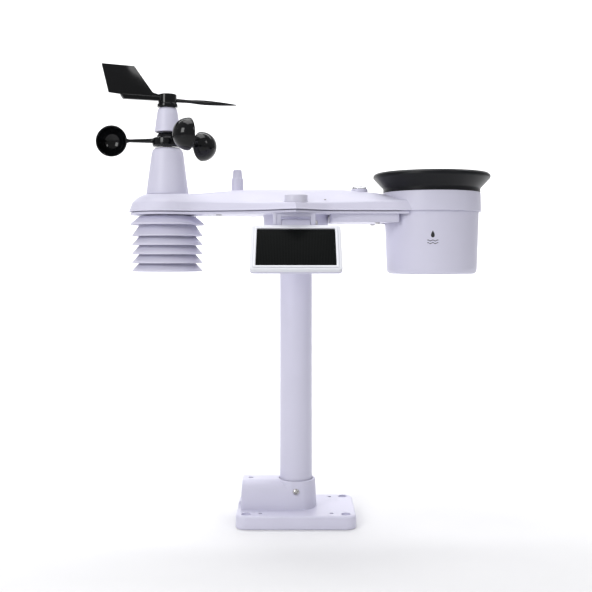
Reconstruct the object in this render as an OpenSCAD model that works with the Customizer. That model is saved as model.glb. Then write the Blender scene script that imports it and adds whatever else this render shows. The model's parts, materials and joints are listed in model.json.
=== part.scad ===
// Pole-mounted weather station: wind vane, cup anemometer, radiation shield,
// tipping-bucket rain gauge and tilting solar panel on one arm, held by a pole in a screw-down foot.
// Millimetres. Origin on the pole's axis at the underside of the foot, +Z up,
// the solar panel faces -Y, the rain gauge is on the +X side and the wind mast on the -X side.

/* [Foot] */
// Width of the foot plate, along X
foot_w = 101.5; // [98:0.5:110]
// Depth of the foot plate, along Y
foot_d = 70; // [68:1:80]
// Thickness of the foot plate
foot_t = 11; // [10:0.5:12]
// Height of the pole socket and of the side sleeve
socket_top = 35; // [35:0.5:38]
// Spacing of the corner screw holes, along X
corner_x = 84; // [82:1:86]
// Spacing of the corner screw holes, along Y
corner_y = 55; // [53:1:57]
// Spacing of the inner screw holes, along X
inner_x = 60; // [56:1:62]
// Spacing of the inner screw holes, along Y
inner_y = 51; // [50:1:52]

/* [Pole] */
// Outer diameter of the pole
pole_d = 27.9; // [27.5:0.1:28]
// Wall of the pole
pole_wall = 2; // [1.5:0.1:3]
// Height of the pole's top end, inside the arm
pole_top = 262; // [260:0.5:262]

/* [Arm] */
// Height of the lower edge of the arm's top shell
skirt_z = 265.9; // [265.5:0.1:266.2]
// Wall of the arm's shells
wall = 2; // [1.8:0.1:2.4]
// How far the arm's lower shell stands back from the skirt of the top shell
lower_inset = 1.5; // [1.2:0.1:1.8]
// Underside of the arm's lower shell
lower_z = 263.2; // [263:0.1:263.4]

/* [Wind] */
// Distance of the wind mast from the pole
mast_x = -112; // [-113:0.5:-111]
// Distance of each cup's centre from the mast
cup_reach = 49.3; // [48:0.1:50]
// Outer radius of a cup
cup_r = 13.7; // [13:0.1:14]
// Height of the cups' centres
cup_z = 328.3; // [327.5:0.1:329]
// Direction of the first cup arm at rest
cup_turn = 179; // [0:0.1:360]
// Direction that the vane's tail points in at rest
vane_turn = 205; // [0:1:360]

/* [Shield] */
// Radius of the radiation shield's top plate
shield_top_r = 32.1; // [31:0.1:33]
// Radius of its other plates
shield_r = 30.4; // [29:0.1:31]

/* [Rain gauge] */
// Distance of the rain gauge from the pole
gauge_x = 118; // [117.5:0.1:118.5]
// Radius of the funnel's rim
rim_r = 50.5; // [50:0.1:51.5]
// Height of the funnel's rim
rim_z = 299.3; // [299:0.1:300]
// Angle of the tipping bucket either side of level
tip_angle = 16; // [12:1:17]

/* [Solar panel] */
// Width of the solar panel
panel_w = 72.5; // [72:0.5:74]
// Length of the solar panel, along its slope
panel_l = 51; // [50:0.5:52]
// Tilt of the solar panel from level, at rest
panel_tilt = 45; // [30:1:60]

/* [Hidden] */
$fn = 64;

shell_colour = [0.86, 0.86, 0.93];
black = [0.06, 0.06, 0.07];
steel = [0.75, 0.75, 0.77];
board_green = [0.10, 0.35, 0.20];

pole_r = pole_d / 2;
socket_r = pole_r + 0.1;
sleeve_end = -47.4;
sleeve_z = 20;
sleeve_half = 15.6;
foot_screw_z = 26.4;
boss_bottom = 238;
boss_screw_z = 247;

arm_right = 96.5;
post_tops = 272;
tray_inset = wall + 2.8;
tray_end = 88.5;
cap_place = [0, -45, 0];
level_place = [54.5, -10, 0];
antenna_place = [-51.2, 3, 0];
case_posts = [[-72, -17], [-72, 17], [-38, -28], [-38, 24], [24, -33], [24, 27]];
mast_plate_z = 318.6;
tube_r = 4;
hub_low = 323.3;
hub_high = 330.3;
bearing_r = 6.5;
cone_low = 335.6;
cone_high = 356.6;
vane_low = 357.2;
vane_top = 368.6;
cup_wall = 1.2;

shield_lows = [254.7, 245.0, 237.2, 229.3, 221.7, 214.5];
shield_rises = [7.7, 10, 8.1, 8.1, 7.9, 7.5];
shield_posts = 19.5;

collar_r = 42.6;
collar_top = 282.7;
collar_bore = 39.2;
bucket_r = 40.5;
bucket_top = 271;
bucket_low = 212.5;
pivot_z = 232;

cell_d = 14.2;
cell_z = 265.2;
cells_x = [41.2, 57.2];
box_z = 256.2;
door_t = 1.5;
door_screw_x = 68.8;
door_screw_y = 24;

cell_centre = [0, -69.4, 235.8];
hinge_y = -43;
hinge_z = 254.2;
hinge_r = 4.2;
bracket_half = 16;
bracket_gap = 12.1;

// ---- general shapes ----

module tube(r_out, r_in, h) {
    difference() {
        cylinder(r = r_out, h = h);
        translate([0, 0, -1]) cylinder(r = r_in, h = h + 2);
    }
}

module rounded_plate(w, d, h, r) {
    linear_extrude(h) {
        square([w - 2 * r, d], center = true);
        square([w, d - 2 * r], center = true);
        for (x = [-1, 1], y = [-1, 1]) translate([x * (w / 2 - r), y * (d / 2 - r)]) circle(r);
    }
}

// a rounded plate whose upper edge is chamfered by c
module chamfered_plate(w, d, h, r, c) {
    rounded_plate(w, d, h - c, r);
    translate([0, 0, h - c]) {
        for (x = [-1, 1], y = [-1, 1])
            translate([x * (w / 2 - r), y * (d / 2 - r), 0]) cylinder(r1 = r, r2 = r - c, h = c);
        translate([r - w / 2, 0, 0]) rotate([90, 0, 90]) linear_extrude(w - 2 * r)
            polygon([[-d / 2, 0], [d / 2, 0], [d / 2 - c, c], [c - d / 2, c]]);
        translate([0, d / 2 - r, 0]) rotate([90, 0, 0]) linear_extrude(d - 2 * r)
            polygon([[-w / 2, 0], [w / 2, 0], [w / 2 - c, c], [c - w / 2, c]]);
    }
}

// a pan-head cross-recess screw, head up, its seat at z = 0
module pan_screw(head_r, head_h, shank_r, shank_l) {
    difference() {
        union() {
            cylinder(r = head_r, h = head_h * 0.55);
            translate([0, 0, head_h * 0.55]) cylinder(r1 = head_r, r2 = head_r * 0.62, h = head_h * 0.45);
            translate([0, 0, -shank_l]) cylinder(r = shank_r, h = shank_l + 0.1);
        }
        for (a = [0, 90]) rotate([0, 0, a])
            translate([-head_r * 0.55, -head_r * 0.11, head_h * 0.35]) cube([head_r * 1.1, head_r * 0.22, head_h]);
    }
}

// ---- the arm's outline, seen from above ----

// a curve through the points of p, with each stretch cut into n steps
function through(p, n) = [
    for (i = [1:len(p) - 3]) for (k = [0:n - 1])
        let (t = k / n, a = p[i - 1], b = p[i], c = p[i + 1], d = p[i + 2])
        0.5 * (2 * b + (c - a) * t + (2 * a - 5 * b + 4 * c - d) * t * t + (3 * b - a - 3 * c + d) * t * t * t)
];

disc_r = 33.1;
disc_end = 68;
arc_steps = 12;
// the outline runs anticlockwise from the wind mast's far side, along the front, to the rain gauge and back
front_left = [[-112, -33.1], [-99.6, -30.7], [-84, -28], [-49, -34.5], [-30, -42], [-13, -53], [0, -61.5], [9, -70]];
front_right = [[-9, -70], [0, -61.5], [12, -52], [22, -44.5], [34, -39.2], [60, -37.3], [arm_right, -37], [110, -37]];
back_run = [[110, 37], [arm_right, 37], [60, 37.5], [34, 37], [22, 36.6], [0, 35.5], [-13, 34.5], [-30, 33],
    [-49, 31], [-84, 28], [-99.6, 30.7], [-112, 33.1]];
run_steps = 3;
arm_outline = concat(
    [for (k = [0:arc_steps - 1]) let (a = 180 + k * (90 + 90 - disc_end) / arc_steps)
        [mast_x + disc_r * cos(a), disc_r * sin(a)]],
    through(front_left, run_steps),
    through(front_right, run_steps),
    [[arm_right, -37]],
    through(back_run, run_steps),
    [for (k = [0:arc_steps - 1]) let (a = disc_end + k * (180 - disc_end) / arc_steps)
        [mast_x + disc_r * cos(a), disc_r * sin(a)]]
);
outline_n = len(arm_outline);

function wrap(i) = (i + outline_n) % outline_n;
function unit(v) = v / norm(v);
// the outline's inward direction at point i
function inward(i) =
    let (t = unit(arm_outline[wrap(i + 1)] - arm_outline[wrap(i - 1)])) [-t[1], t[0]];
function inset_outline(d) = [for (i = [0:outline_n - 1]) arm_outline[i] + d * inward(i)];

// heights along the arm: the top of its skirt, and its crown
function skirt_top(x) = lookup(x, [[-146, 274.6], [-84, 274.2], [-30, 272.2], [0, 271.5], [30, 272.6], [97, 275]]);
function crown(x) = lookup(x, [[-146, 281], [-84, 281.2], [-64, 283.3], [-44, 284.9], [-20, 285.5], [20, 285.4],
    [43, 285], [60, 283.2], [73, 281.5], [97, 275.6]]);
// how much of the way from the skirt to the spine the rise takes
function rise_share(x) = lookup(x, [[-96, 0.36], [-60, 0.6], [0, 0.9], [40, 0.75], [97, 0.6]]);
// 1 where the rise starts gently, above the arm's front corner, and 0 where it starts at once
function gentle(x) = lookup(x, [[-45, 0], [0, 1], [45, 0]]);
function rise(x, s) =
    let (u = min(1, s / rise_share(x)), slow = u * u * (3 - 2 * u), quick = u * (3 - u * u) / 2)
    gentle(x) * slow + (1 - gentle(x)) * quick;

// one ring of the arm's top surface: s is 0 at the skirt's top and 1 on the spine, d is the depth below the outside
function cover_ring(s, d) = [
    for (p = inset_outline(3.2 + d))
        let (spine = [min(max(p[0], mast_x), arm_right), 0], q = p + s * (spine - p))
        [q[0], q[1], skirt_top(p[0]) + (crown(q[0]) - skirt_top(p[0])) * rise(p[0], s) - d]
];
cover_steps = [0.86, 0.7, 0.52, 0.36, 0.24, 0.12, 0];

// the solid inside the arm's top surface, d below the outside, from its crown down to the height low
module arm_solid(d, low) {
    rings = concat(
        [for (s = cover_steps) cover_ring(s, d)],
        [[for (p = inset_outline(d)) [p[0], p[1], low]]]
    );
    n = outline_n;
    sides = [for (r = [0:len(rings) - 2], i = [0:n - 1], k = [0, 1])
        let (a = r * n + i, b = r * n + (i + 1) % n) k == 0 ? [a, b, b + n] : [a, b + n, a + n]];
    // each end is closed by triangles between the front and the back of its ring
    cap = [for (i = [0:floor(n / 2) - 1], k = [0, 1])
        let (a = i, b = i + 1, c = (n - i) % n, e = n - i - 1) k == 0 ? [c, e, b] : [c, b, a]];
    whole = [for (f = cap) if (f[0] != f[1] && f[1] != f[2] && f[0] != f[2]) f];
    low_end = (len(rings) - 1) * n;
    polyhedron(
        points = [for (r = rings) for (p = r) p],
        faces = concat(sides, whole, [for (f = whole) [low_end + f[0], low_end + f[2], low_end + f[1]]])
    );
}

module arm_cover() {
    difference() {
        arm_solid(0, skirt_z);
        arm_solid(wall, skirt_z - 1);
    }
    // screw posts up to the crown
    intersection() {
        arm_solid(0, skirt_z);
        for (p = case_posts) translate([p[0], p[1], post_tops]) cylinder(r = 2.6, h = 20);
    }
}

// ---- foot and pole ----

module foot() {
    color(shell_colour) difference() {
        union() {
            chamfered_plate(foot_w, foot_d, foot_t, 9, 2);
            // side sleeve, with rounded shoulders
            translate([sleeve_end, 0, 0]) rotate([90, 0, 90]) linear_extrude(-sleeve_end) {
                translate([-sleeve_half, 5]) square([2 * sleeve_half, socket_top - 14]);
                translate([9 - sleeve_half, 5]) square([2 * sleeve_half - 18, socket_top - 5]);
                for (y = [-1, 1]) translate([y * (sleeve_half - 9), socket_top - 9]) circle(9);
            }
            // pole socket, flat at the front and back
            intersection() {
                translate([0, 0, 5]) cylinder(r1 = 17.9, r2 = 16.7, h = socket_top - 5);
                translate([-20, -16, 0]) cube([40, 32, socket_top]);
            }
        }
        // the sleeve's end leans in towards its top
        translate([sleeve_end, -20, foot_t]) rotate([0, 2.6, 0]) translate([-6, 0, 0]) cube([6, 40, 30]);
        // pole socket bore, with a wider mouth
        translate([0, 0, 6]) cylinder(r = socket_r, h = 40);
        translate([0, 0, socket_top - 5]) cylinder(r = socket_r + 0.6, h = 10);
        // side sleeve bore, with a lead-in
        translate([-16, 0, sleeve_z]) rotate([0, -90, 0]) cylinder(r = socket_r, h = 40);
        translate([-43.5, 0, sleeve_z]) rotate([0, -90, 0]) cylinder(r1 = socket_r, r2 = socket_r + 0.9, h = 5);
        // screw holes for the pole
        translate([0, 0, foot_screw_z]) rotate([90, 0, 0]) cylinder(r = 1.8, h = 30);
        translate([-39, 0, sleeve_z]) cylinder(r = 2.25, h = 30);
        // holes for the ground screws
        for (x = [-1, 1], y = [-1, 1]) {
            translate([x * corner_x / 2, y * corner_y / 2, -1]) cylinder(r = 2.25, h = 20);
            translate([x * corner_x / 2, y * corner_y / 2, foot_t - 1.6]) cylinder(r = 4, h = 20);
            translate([x * inner_x / 2, y * inner_y / 2, -1]) cylinder(r = 1.75, h = 20);
        }
        // pockets under the plate
        for (y = [-1, 1], x = [-1, 1])
            translate([x * 12.5 - 11.5, y * 26 - 6, -1]) cube([23, 12, 8]);
        for (y = [-1, 1]) translate([21, y * 9 - 8, -1]) cube([22, 16, 8]);
    }
}

module pole() {
    color(shell_colour) difference() {
        translate([0, 0, 6]) tube(pole_r, pole_r - pole_wall, pole_top - 6);
        translate([0, 0, foot_screw_z]) rotate([90, 0, 0]) cylinder(r = 1.8, h = 30);
        translate([0, 0, boss_screw_z]) rotate([-90, 0, 0]) cylinder(r = 1.8, h = 30);
    }
}

module pole_screws() {
    color(steel) {
        translate([0, -16, foot_screw_z]) rotate([90, 0, 0]) pan_screw(2.75, 1.8, 1.75, 7);
        translate([0, 22, boss_screw_z]) rotate([-90, 0, 0]) pan_screw(2.75, 1.8, 1.75, 12);
    }
}

// ---- arm ----

module lower_shell() {
    floor_t = 2;
    tray_top = 268;
    color(shell_colour) difference() {
        union() {
            // tray
            translate([0, 0, lower_z]) linear_extrude(floor_t) polygon(inset_outline(lower_inset));
            translate([0, 0, lower_z]) linear_extrude(tray_top - lower_z) difference() {
                polygon(inset_outline(tray_inset));
                polygon(inset_outline(tray_inset + 1.7));
            }
            // wall round the rain gauge
            intersection() {
                translate([gauge_x, 0, lower_z]) cylinder(r = collar_r + 2, h = tray_top - lower_z);
                translate([gauge_x - 60, -35, lower_z]) cube([39, 70, 10]);
            }
            // pole boss: a tapered skin round the pole's socket
            translate([0, 0, boss_bottom]) cylinder(r1 = 27.2, r2 = 28.6, h = lower_z + 1 - boss_bottom);
            // battery box
            translate([29, -33, box_z]) cube([57.6, 66, lower_z + 1 - box_z]);
            // screw posts, and the board's feet
            for (p = case_posts) translate([p[0], p[1], lower_z]) cylinder(r = 3, h = tray_top - lower_z);
            for (x = [-60, 14], y = [-14, 16]) translate([x, y, lower_z]) cylinder(r = 2.2, h = 4.8);
        }
        // the hollow skin of the boss, open below, with the pole socket left standing
        difference() {
            translate([0, 0, boss_bottom - 1]) cylinder(r1 = 25.2, r2 = 26.2, h = 22);
            translate([0, 0, boss_bottom - 2]) cylinder(r = 16.4, h = 30);
            for (a = [0:60:150]) rotate([0, 0, a]) translate([-30, -0.9, 0]) cube([60, 1.8, 300]);
            translate([0, 0, boss_screw_z]) rotate([-90, 0, 0]) cylinder(r = 5, h = 30);
        }
        translate([0, 0, boss_bottom - 2]) cylinder(r = socket_r, h = pole_top + 2 - boss_bottom);
        translate([0, 0, boss_screw_z]) rotate([-90, 0, 0]) cylinder(r = 1.8, h = 40);
        translate([0, 22, boss_screw_z]) rotate([-90, 0, 0]) cylinder(r = 3.1, h = 40);
        // cable way from the panel
        translate([0, -36, lower_z - 1]) cylinder(r = 2.5, h = 10);
        // space for the batteries and their door
        translate([32.6, -30, box_z - 1]) cube([33.2, 57.4, 20]);
        translate([30.4, -31.4, box_z - 1]) cube([41.4, 62.8, door_t + 1.1]);
        for (y = [-1, 1]) translate([door_screw_x, y * door_screw_y, box_z - 1]) cylinder(r = 1.05, h = 7);
        // groove for the door's seal
        translate([31.4, -31, box_z + door_t]) difference() {
            cube([35.4, 59.6, 1.1]);
            translate([0.9, 0.9, -1]) cube([33.6, 57.8, 5]);
        }
        // room for the rain gauge, and for the end of the top shell
        translate([gauge_x, 0, lower_z - 20]) cylinder(r = collar_r + 0.3, h = 30);
        translate([tray_end, -50, skirt_z - 0.5]) cube([20, 100, 10]);
        // holes: case screws, shield screws, sensor lead, lamp, button
        for (p = case_posts) {
            translate([p[0], p[1], lower_z - 1]) cylinder(r = 1.3, h = 10);
            translate([p[0], p[1], lower_z - 1]) cylinder(r = 2.6, h = 3);
        }
        for (a = [30, 150, 270]) translate([mast_x, 0, 0]) rotate([0, 0, a])
            translate([shield_posts, 0, lower_z - 1]) cylinder(r = 1.4, h = 10);
        translate([mast_x, 0, lower_z - 1]) cylinder(r = 5, h = 10);
        translate([-76, 10, lower_z - 1]) cylinder(r = 1.6, h = 10);
        translate([-66, -14, lower_z - 1]) cylinder(r = 2.8, h = 10);
    }
}

module gauge_collar() {
    translate([gauge_x, 0, 0]) rotate_extrude() polygon([
        [collar_bore, bucket_top + 0.2], [bucket_r + 0.4, bucket_top + 0.2], [bucket_r + 0.4, skirt_z],
        [collar_r, skirt_z], [collar_r - 0.5, collar_top], [collar_bore, collar_top],
    ]);
}

module upper_shell() {
    color(shell_colour) difference() {
        union() {
            difference() {
                arm_cover();
                translate([gauge_x, 0, skirt_z - 1]) cylinder(r = collar_r - 1, h = 40);
            }
            gauge_collar();
        }
        for (p = case_posts) translate([p[0], p[1], post_tops - 1]) cylinder(r = 1.3, h = 5);
        translate([mast_x, 0, skirt_z]) cylinder(r = 16.6, h = 30);
        translate(antenna_place + [0, 0, skirt_z]) cylinder(r = 5.6, h = 30);
        translate(cap_place + [0, 0, skirt_z]) cylinder(r = 9.7, h = 30);
        translate(level_place + [0, 0, skirt_z]) cylinder(r = 7.3, h = 30);
    }
}

module shell_gasket() {
    color(black) translate([0, 0, 268]) linear_extrude(1.2) difference() {
        polygon(inset_outline(tray_inset + 0.6));
        polygon(inset_outline(tray_inset + 1.6));
        translate([gauge_x, 0]) circle(collar_r + 0.4);
        translate([tray_end - 1, -50]) square([20, 100]);
    }
}

module case_screws() {
    color(steel) for (p = case_posts)
        translate([p[0], p[1], lower_z + 2]) rotate([180, 0, 0]) pan_screw(2.4, 1.6, 1.25, 10);
}

module main_board() {
    color(board_green) translate([0, 0, 268]) {
        difference() {
            translate([-64, -18, 0]) cube([82, 38, 1.6]);
            for (x = [-60, 14], y = [-14, 16]) translate([x, y, -1]) cylinder(r = 1.3, h = 4);
        }
        translate([-24, -8, 1.6]) cube([12, 12, 1.4]);
        translate([-2, -12, 1.6]) cube([7, 14, 5]);
        translate([-36, 8, 1.6]) cube([10, 6, 4]);
        for (x = [-8, 8]) translate([x, 12, 1.6]) cylinder(r = 3.1, h = 6);
    }
}

module radio_module() {
    color(steel) translate([-46, -16, 269.6]) cube([17, 17, 2.4]);
}

module antenna_cover() {
    color(shell_colour) translate(antenna_place) rotate_extrude() polygon([
        [2.9, 279.6], [6.6, 279.6], [6.6, 280.6], [5.45, 280.6], [5.45, 284], [5.0, 295.6], [4.3, 295.9], [3.75, 302.9],
        [3.4, 303.2], [0, 303.2], [0, 301.6], [2.9, 301.6],
    ]);
}

module antenna_rod() {
    color([0.8, 0.6, 0.25]) translate(antenna_place + [0, 0, 269.6]) {
        cylinder(r = 1.2, h = 31);
        cylinder(r = 2.6, h = 9);
    }
}

module light_cap() {
    color([0.95, 0.95, 0.97]) translate(cap_place) rotate_extrude() polygon([
        [7.8, 269.4], [9.5, 269.4], [9.5, 277.2], [9.2, 278], [8.4, 278.4], [0, 278.7],
        [0, 277], [7.8, 276.8],
    ]);
}

module light_sensor() {
    color(board_green) translate(cap_place) {
        translate([0, 0, 268.2]) cylinder(r = 5.5, h = 1.2);
        translate([-1.5, -1.5, 269.3]) cube([3, 3, 1.2]);
    }
}

module level_ring() {
    color(shell_colour) translate(level_place) rotate_extrude() polygon([
        [6.2, 278.2], [8, 278.2], [8, 279.2], [7.1, 279.2], [7.1, 284.9], [6.8, 285.4], [6.2, 285.4],
    ]);
}

module level_vial() {
    color([0.8, 0.9, 0.8]) translate(level_place) rotate_extrude() polygon([
        [0, 279], [6.1, 279], [6.1, 286.8], [5.5, 287.4], [0, 287.4], [0, 286], [4.9, 286], [4.9, 280.4], [0, 280.4],
    ]);
}

// ---- batteries ----

module batteries() {
    color([0.25, 0.25, 0.3]) for (x = cells_x) translate([x, 24.8, cell_z]) rotate([90, 0, 0]) {
        cylinder(r = cell_d / 2, h = 49.2);
        translate([0, 0, -1]) cylinder(r = 2.7, h = 1.2);
    }
}

module battery_contacts() {
    color(steel) for (x = cells_x) {
        translate([x - 4, 25.9, cell_z - 4]) cube([8, 0.4, 8]);
        translate([x - 4, -29.4, cell_z - 4]) cube([8, 0.4, 8]);
        // coil spring, as a stack of turns
        for (k = [0:3]) translate([x, -28.4 + k * 1.33, cell_z]) rotate([90, 0, 0])
            tube(4 - k * 0.5, 3.4 - k * 0.5, 0.6);
    }
}

module battery_door() {
    color(shell_colour) difference() {
        translate([30.7, -31.1, box_z]) cube([40.8, 62.2, door_t]);
        for (y = [-1, 1]) translate([door_screw_x, y * door_screw_y, box_z - 1]) cylinder(r = 1.4, h = 5);
        // finger ridges
        for (k = [0:4]) translate([36, -5.4 + k * 2.4, box_z - 0.5]) cube([6, 1.2, 1]);
    }
}

module door_seal() {
    color(black) translate([31.4, -31, box_z + door_t]) linear_extrude(1.1) difference() {
        square([35.4, 59.6]);
        translate([0.9, 0.9]) square([33.6, 57.8]);
    }
}

module door_screws() {
    color(steel) for (y = [-1, 1])
        translate([door_screw_x, y * door_screw_y, box_z]) rotate([180, 0, 0]) pan_screw(2.2, 1.3, 1, 6);
}

module reset_button() {
    color(black) translate([-66, -14, 0]) {
        translate([0, 0, 262.7]) cylinder(r = 2.5, h = 3.3);
        translate([0, 0, 265.5]) cylinder(r = 3.4, h = 0.7);
    }
}

module button_spring() {
    color(steel) translate([-66, -14, 0]) for (k = [0:1]) translate([0, 0, 266.9 + k * 0.5]) tube(2, 1.6, 0.4);
}

module status_lamp() {
    color([0.3, 0.75, 0.4]) translate([-76, 10, 263]) cylinder(r = 1.5, h = 4.5);
}

// ---- wind mast ----

module mast_column() {
    color(shell_colour) difference() {
        translate([mast_x, 0, 0]) rotate_extrude() polygon([
            [14.4, 270], [16.4, 270], [16.4, 281.3], [18.4, 281.3], [14.1, 314.2], [13.7, 317.2], [12.9, 319.5],
            [11.7, 321], [10.7, 321.6], [tube_r, 321.6], [tube_r, mast_plate_z], [11.2, mast_plate_z], [12, 314],
            [16, 283.5], [14.4, 281],
        ]);
        for (a = [90, 210, 330]) translate([mast_x, 0, 0]) rotate([0, 0, a])
            translate([8, 0, 310]) cylinder(r = 0.9, h = 10.5);
    }
}

module mast_tube() {
    color(steel) translate([mast_x, 0, 0]) {
        translate([0, 0, 304]) tube(tube_r, 2.6, 40);
        translate([0, 0, 314.8]) tube(7.5, 3, 2);
    }
}

module speed_board() {
    color(board_green) translate([mast_x, 0, 0]) {
        translate([0, 0, 316.9]) tube(10.6, tube_r + 0.2, 1.4);
        translate([7.7, -1.5, 315.4]) cube([2.6, 3, 1.6]);
    }
}

module cup_bearings() {
    color(steel) translate([mast_x, 0, 0])
        for (z = [hub_low + 0.6, hub_high - 0.4]) translate([0, 0, z]) tube(bearing_r, tube_r, 2.5);
}

module vane_housing() {
    color(shell_colour) translate([mast_x, 0, 0]) rotate_extrude() polygon([
        [tube_r, 337.6], [9.4, 337.6], [9.9, cone_low], [11.2, cone_low], [8.9, 353], [8.5, 354.8],
        [7.3, cone_high], [5, cone_high], [5, 349], [6.2, 349], [7.6, 340], [6, 340], [6, 343.5], [tube_r, 343.5],
    ]);
}

module vane_board() {
    color(board_green) translate([mast_x, 0, 344.1]) cylinder(r = 5.6, h = 1.2);
}

module vane_bearings() {
    color(steel) translate([mast_x, 0, 0]) for (z = [349.2, 353.8]) translate([0, 0, z]) tube(5, 2.05, 2.5);
}

// ---- cups ----

module cup_shell() {
    // half a hollow ball, its mouth towards +Y
    rotate([-90, 0, 0]) difference() {
        sphere(r = cup_r);
        sphere(r = cup_r - cup_wall);
        translate([-20, -20, 0]) cube([40, 40, 20]);
    }
}

module cup_arm() {
    length = cup_reach - cup_r - 11.5 + 0.6;
    translate([11.5, 0, cup_z]) rotate([0, 90, 0]) cylinder(r1 = 2.2, r2 = 1.4, h = length);
}

module cup_rotor() {
    color(black) translate([mast_x, 0, 0]) difference() {
        union() {
            rotate_extrude() polygon([
                [bearing_r + 0.05, 322.6], [12, 322.6], [13.1, hub_low + 0.6], [13.1, hub_high - 0.6], [12.4, hub_high],
                [9.6, 331], [8.9, 333], [7.2, 334.7], [bearing_r + 0.05, 335],
            ]);
            for (k = [0:2]) rotate([0, 0, cup_turn + k * 120]) {
                cup_arm();
                translate([cup_reach, 0, cup_z]) cup_shell();
            }
        }
        for (a = [0, 180]) rotate([0, 0, a + 40]) translate([9.4, 0, 322]) cylinder(r = 1.55, h = 2.8);
    }
}

module cup_magnets() {
    color(steel) translate([mast_x, 0, 0]) for (a = [0, 180]) rotate([0, 0, a + 40])
        translate([9.4, 0, 322.7]) cylinder(r = 1.5, h = 2);
}

// ---- vane ----

module wind_vane() {
    color(black) translate([mast_x, 0, 0]) rotate([0, 0, vane_turn]) difference() {
        union() {
            rotate_extrude() polygon([
                [2, vane_low], [8.9, vane_low], [8.9, 360], [8.5, 360.3], [8, 360.3], [8, vane_top - 0.9],
                [7.1, vane_top], [0, vane_top], [0, 367], [2, 367],
            ]);
            // tail boom, and the fin above it
            rotate([90, 0, 0]) translate([0, 0, -2.5]) linear_extrude(5)
                polygon([[6, 362.4], [39, 361.9], [41.9, 366], [6, 366.4]]);
            rotate([90, 0, 0]) translate([0, 0, -0.8]) linear_extrude(1.6)
                polygon([[6.5, 366], [39, 365.6], [51.8, 366.5], [57.6, 390.8], [29.4, 390.8], [12.3, 368]]);
            // nose: a round stem and a leaf-shaped counterweight
            translate([-6, 0, 363.8]) rotate([0, -90, 0]) cylinder(r = 1.7, h = 17);
            translate([-20, 0, 363.9]) rotate([90, 0, 0]) translate([0, 0, -1.5]) linear_extrude(3)
                polygon([[3, -1.4], [-5, -1.9], [-14, -2.2], [-24, -1.9], [-44.5, -0.3],
                    [-44.5, 0.3], [-24, 1.9], [-14, 2.2], [-5, 1.9], [3, 1.4]]);
        }
        translate([0, 0, 359.6]) rotate([0, 90, -90]) cylinder(r = 1.3, h = 12);
    }
}

module vane_shaft() {
    color(steel) translate([mast_x, 0, 347.4]) cylinder(r = 2, h = 19.5);
}

module vane_magnet() {
    color([0.3, 0.3, 0.32]) translate([mast_x, 0, 345.8]) cylinder(r = 3.2, h = 1.6);
}

module vane_screw() {
    color(steel) translate([mast_x, 0, 0]) rotate([0, 0, vane_turn])
        translate([0, 0, 359.6]) rotate([0, 90, -90]) translate([0, 0, 2]) cylinder(r = 1.25, h = 5.5);
}

// ---- radiation shield ----

// plate k, counted from the top; the last one is closed
module shield_plate(k) {
    r = k == 1 ? shield_top_r : shield_r;
    low = shield_lows[k - 1];
    top = low + shield_rises[k - 1];
    above = k == 1 ? lower_z : shield_lows[k - 2] + shield_rises[k - 2] - 1.4;
    bore = k == len(shield_lows) ? 0 : 14;
    flat_r = 24;
    color(shell_colour) translate([mast_x, 0, 0]) difference() {
        union() {
            rotate_extrude() polygon([
                [bore, top], [flat_r, top], [r, low + 0.9], [r, low], [r - 1.2, low], [flat_r - 0.8, top - 1.4],
                [bore, top - 1.4],
            ]);
            for (a = [30, 150, 270]) rotate([0, 0, a]) translate([shield_posts, 0, top - 0.5]) cylinder(r = 2.8, h = above - top + 0.5);
        }
        for (a = [30, 150, 270]) rotate([0, 0, a]) translate([shield_posts, 0, low - 1]) cylinder(r = 1.5, h = 30);
    }
}

module shield_screws() {
    last = len(shield_lows) - 1;
    bottom = shield_lows[last] + shield_rises[last] - 1.4;
    color(steel) translate([mast_x, 0, 0]) for (a = [30, 150, 270]) rotate([0, 0, a])
        translate([shield_posts, 0, bottom]) rotate([180, 0, 0]) pan_screw(2.6, 1.7, 1.35, 266 - bottom);
}

module sensor_board() {
    color(board_green) translate([mast_x, 0, 0]) {
        translate([-4, -0.6, 232]) cube([8, 1.2, 31]);
        translate([-1.5, -1.6, 234]) cube([3, 1, 3]);
    }
}

module sensor_cage() {
    color([0.92, 0.92, 0.94]) translate([mast_x, 0, 0]) difference() {
        union() {
            translate([0, 0, 229]) tube(6.2, 5.2, 33.9);
            translate([0, 0, 229]) cylinder(r = 6.2, h = 1.2);
            translate([0, 0, 261.4]) tube(9, 5.2, 1.8);
        }
        for (z = [233:5:253], a = [0:45:135]) translate([0, 0, z]) rotate([0, 0, a])
            translate([-8, -1, 0]) cube([16, 2, 3]);
    }
}

// ---- rain gauge ----

module rain_bucket() {
    color(shell_colour) translate([gauge_x, 0, 0]) difference() {
        rotate_extrude() polygon([
            [0, bucket_low], [36.2, bucket_low], [37.7, bucket_low + 0.6], [38.6, bucket_low + 2], [38.9, bucket_low + 4],
            [bucket_r, 264], [bucket_r, bucket_top], [bucket_r - 2, bucket_top], [bucket_r - 2, 264],
            [36.9, bucket_low + 4.5], [36, bucket_low + 2.4], [0, bucket_low + 2.4],
        ]);
        for (x = [-1, 1]) translate([x * 22, 0, bucket_low - 1]) cylinder(r = 7, h = 10);
    }
}

module drain_grilles() {
    color(shell_colour) for (x = [-1, 1]) translate([gauge_x + x * 22, 0, bucket_low + 0.4]) difference() {
        cylinder(r = 6.9, h = 1.6);
        for (y = [-4.5:2.25:4.5]) translate([-4.6, y - 0.6, -1]) cube([9.2, 1.2, 4]);
    }
}

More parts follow.
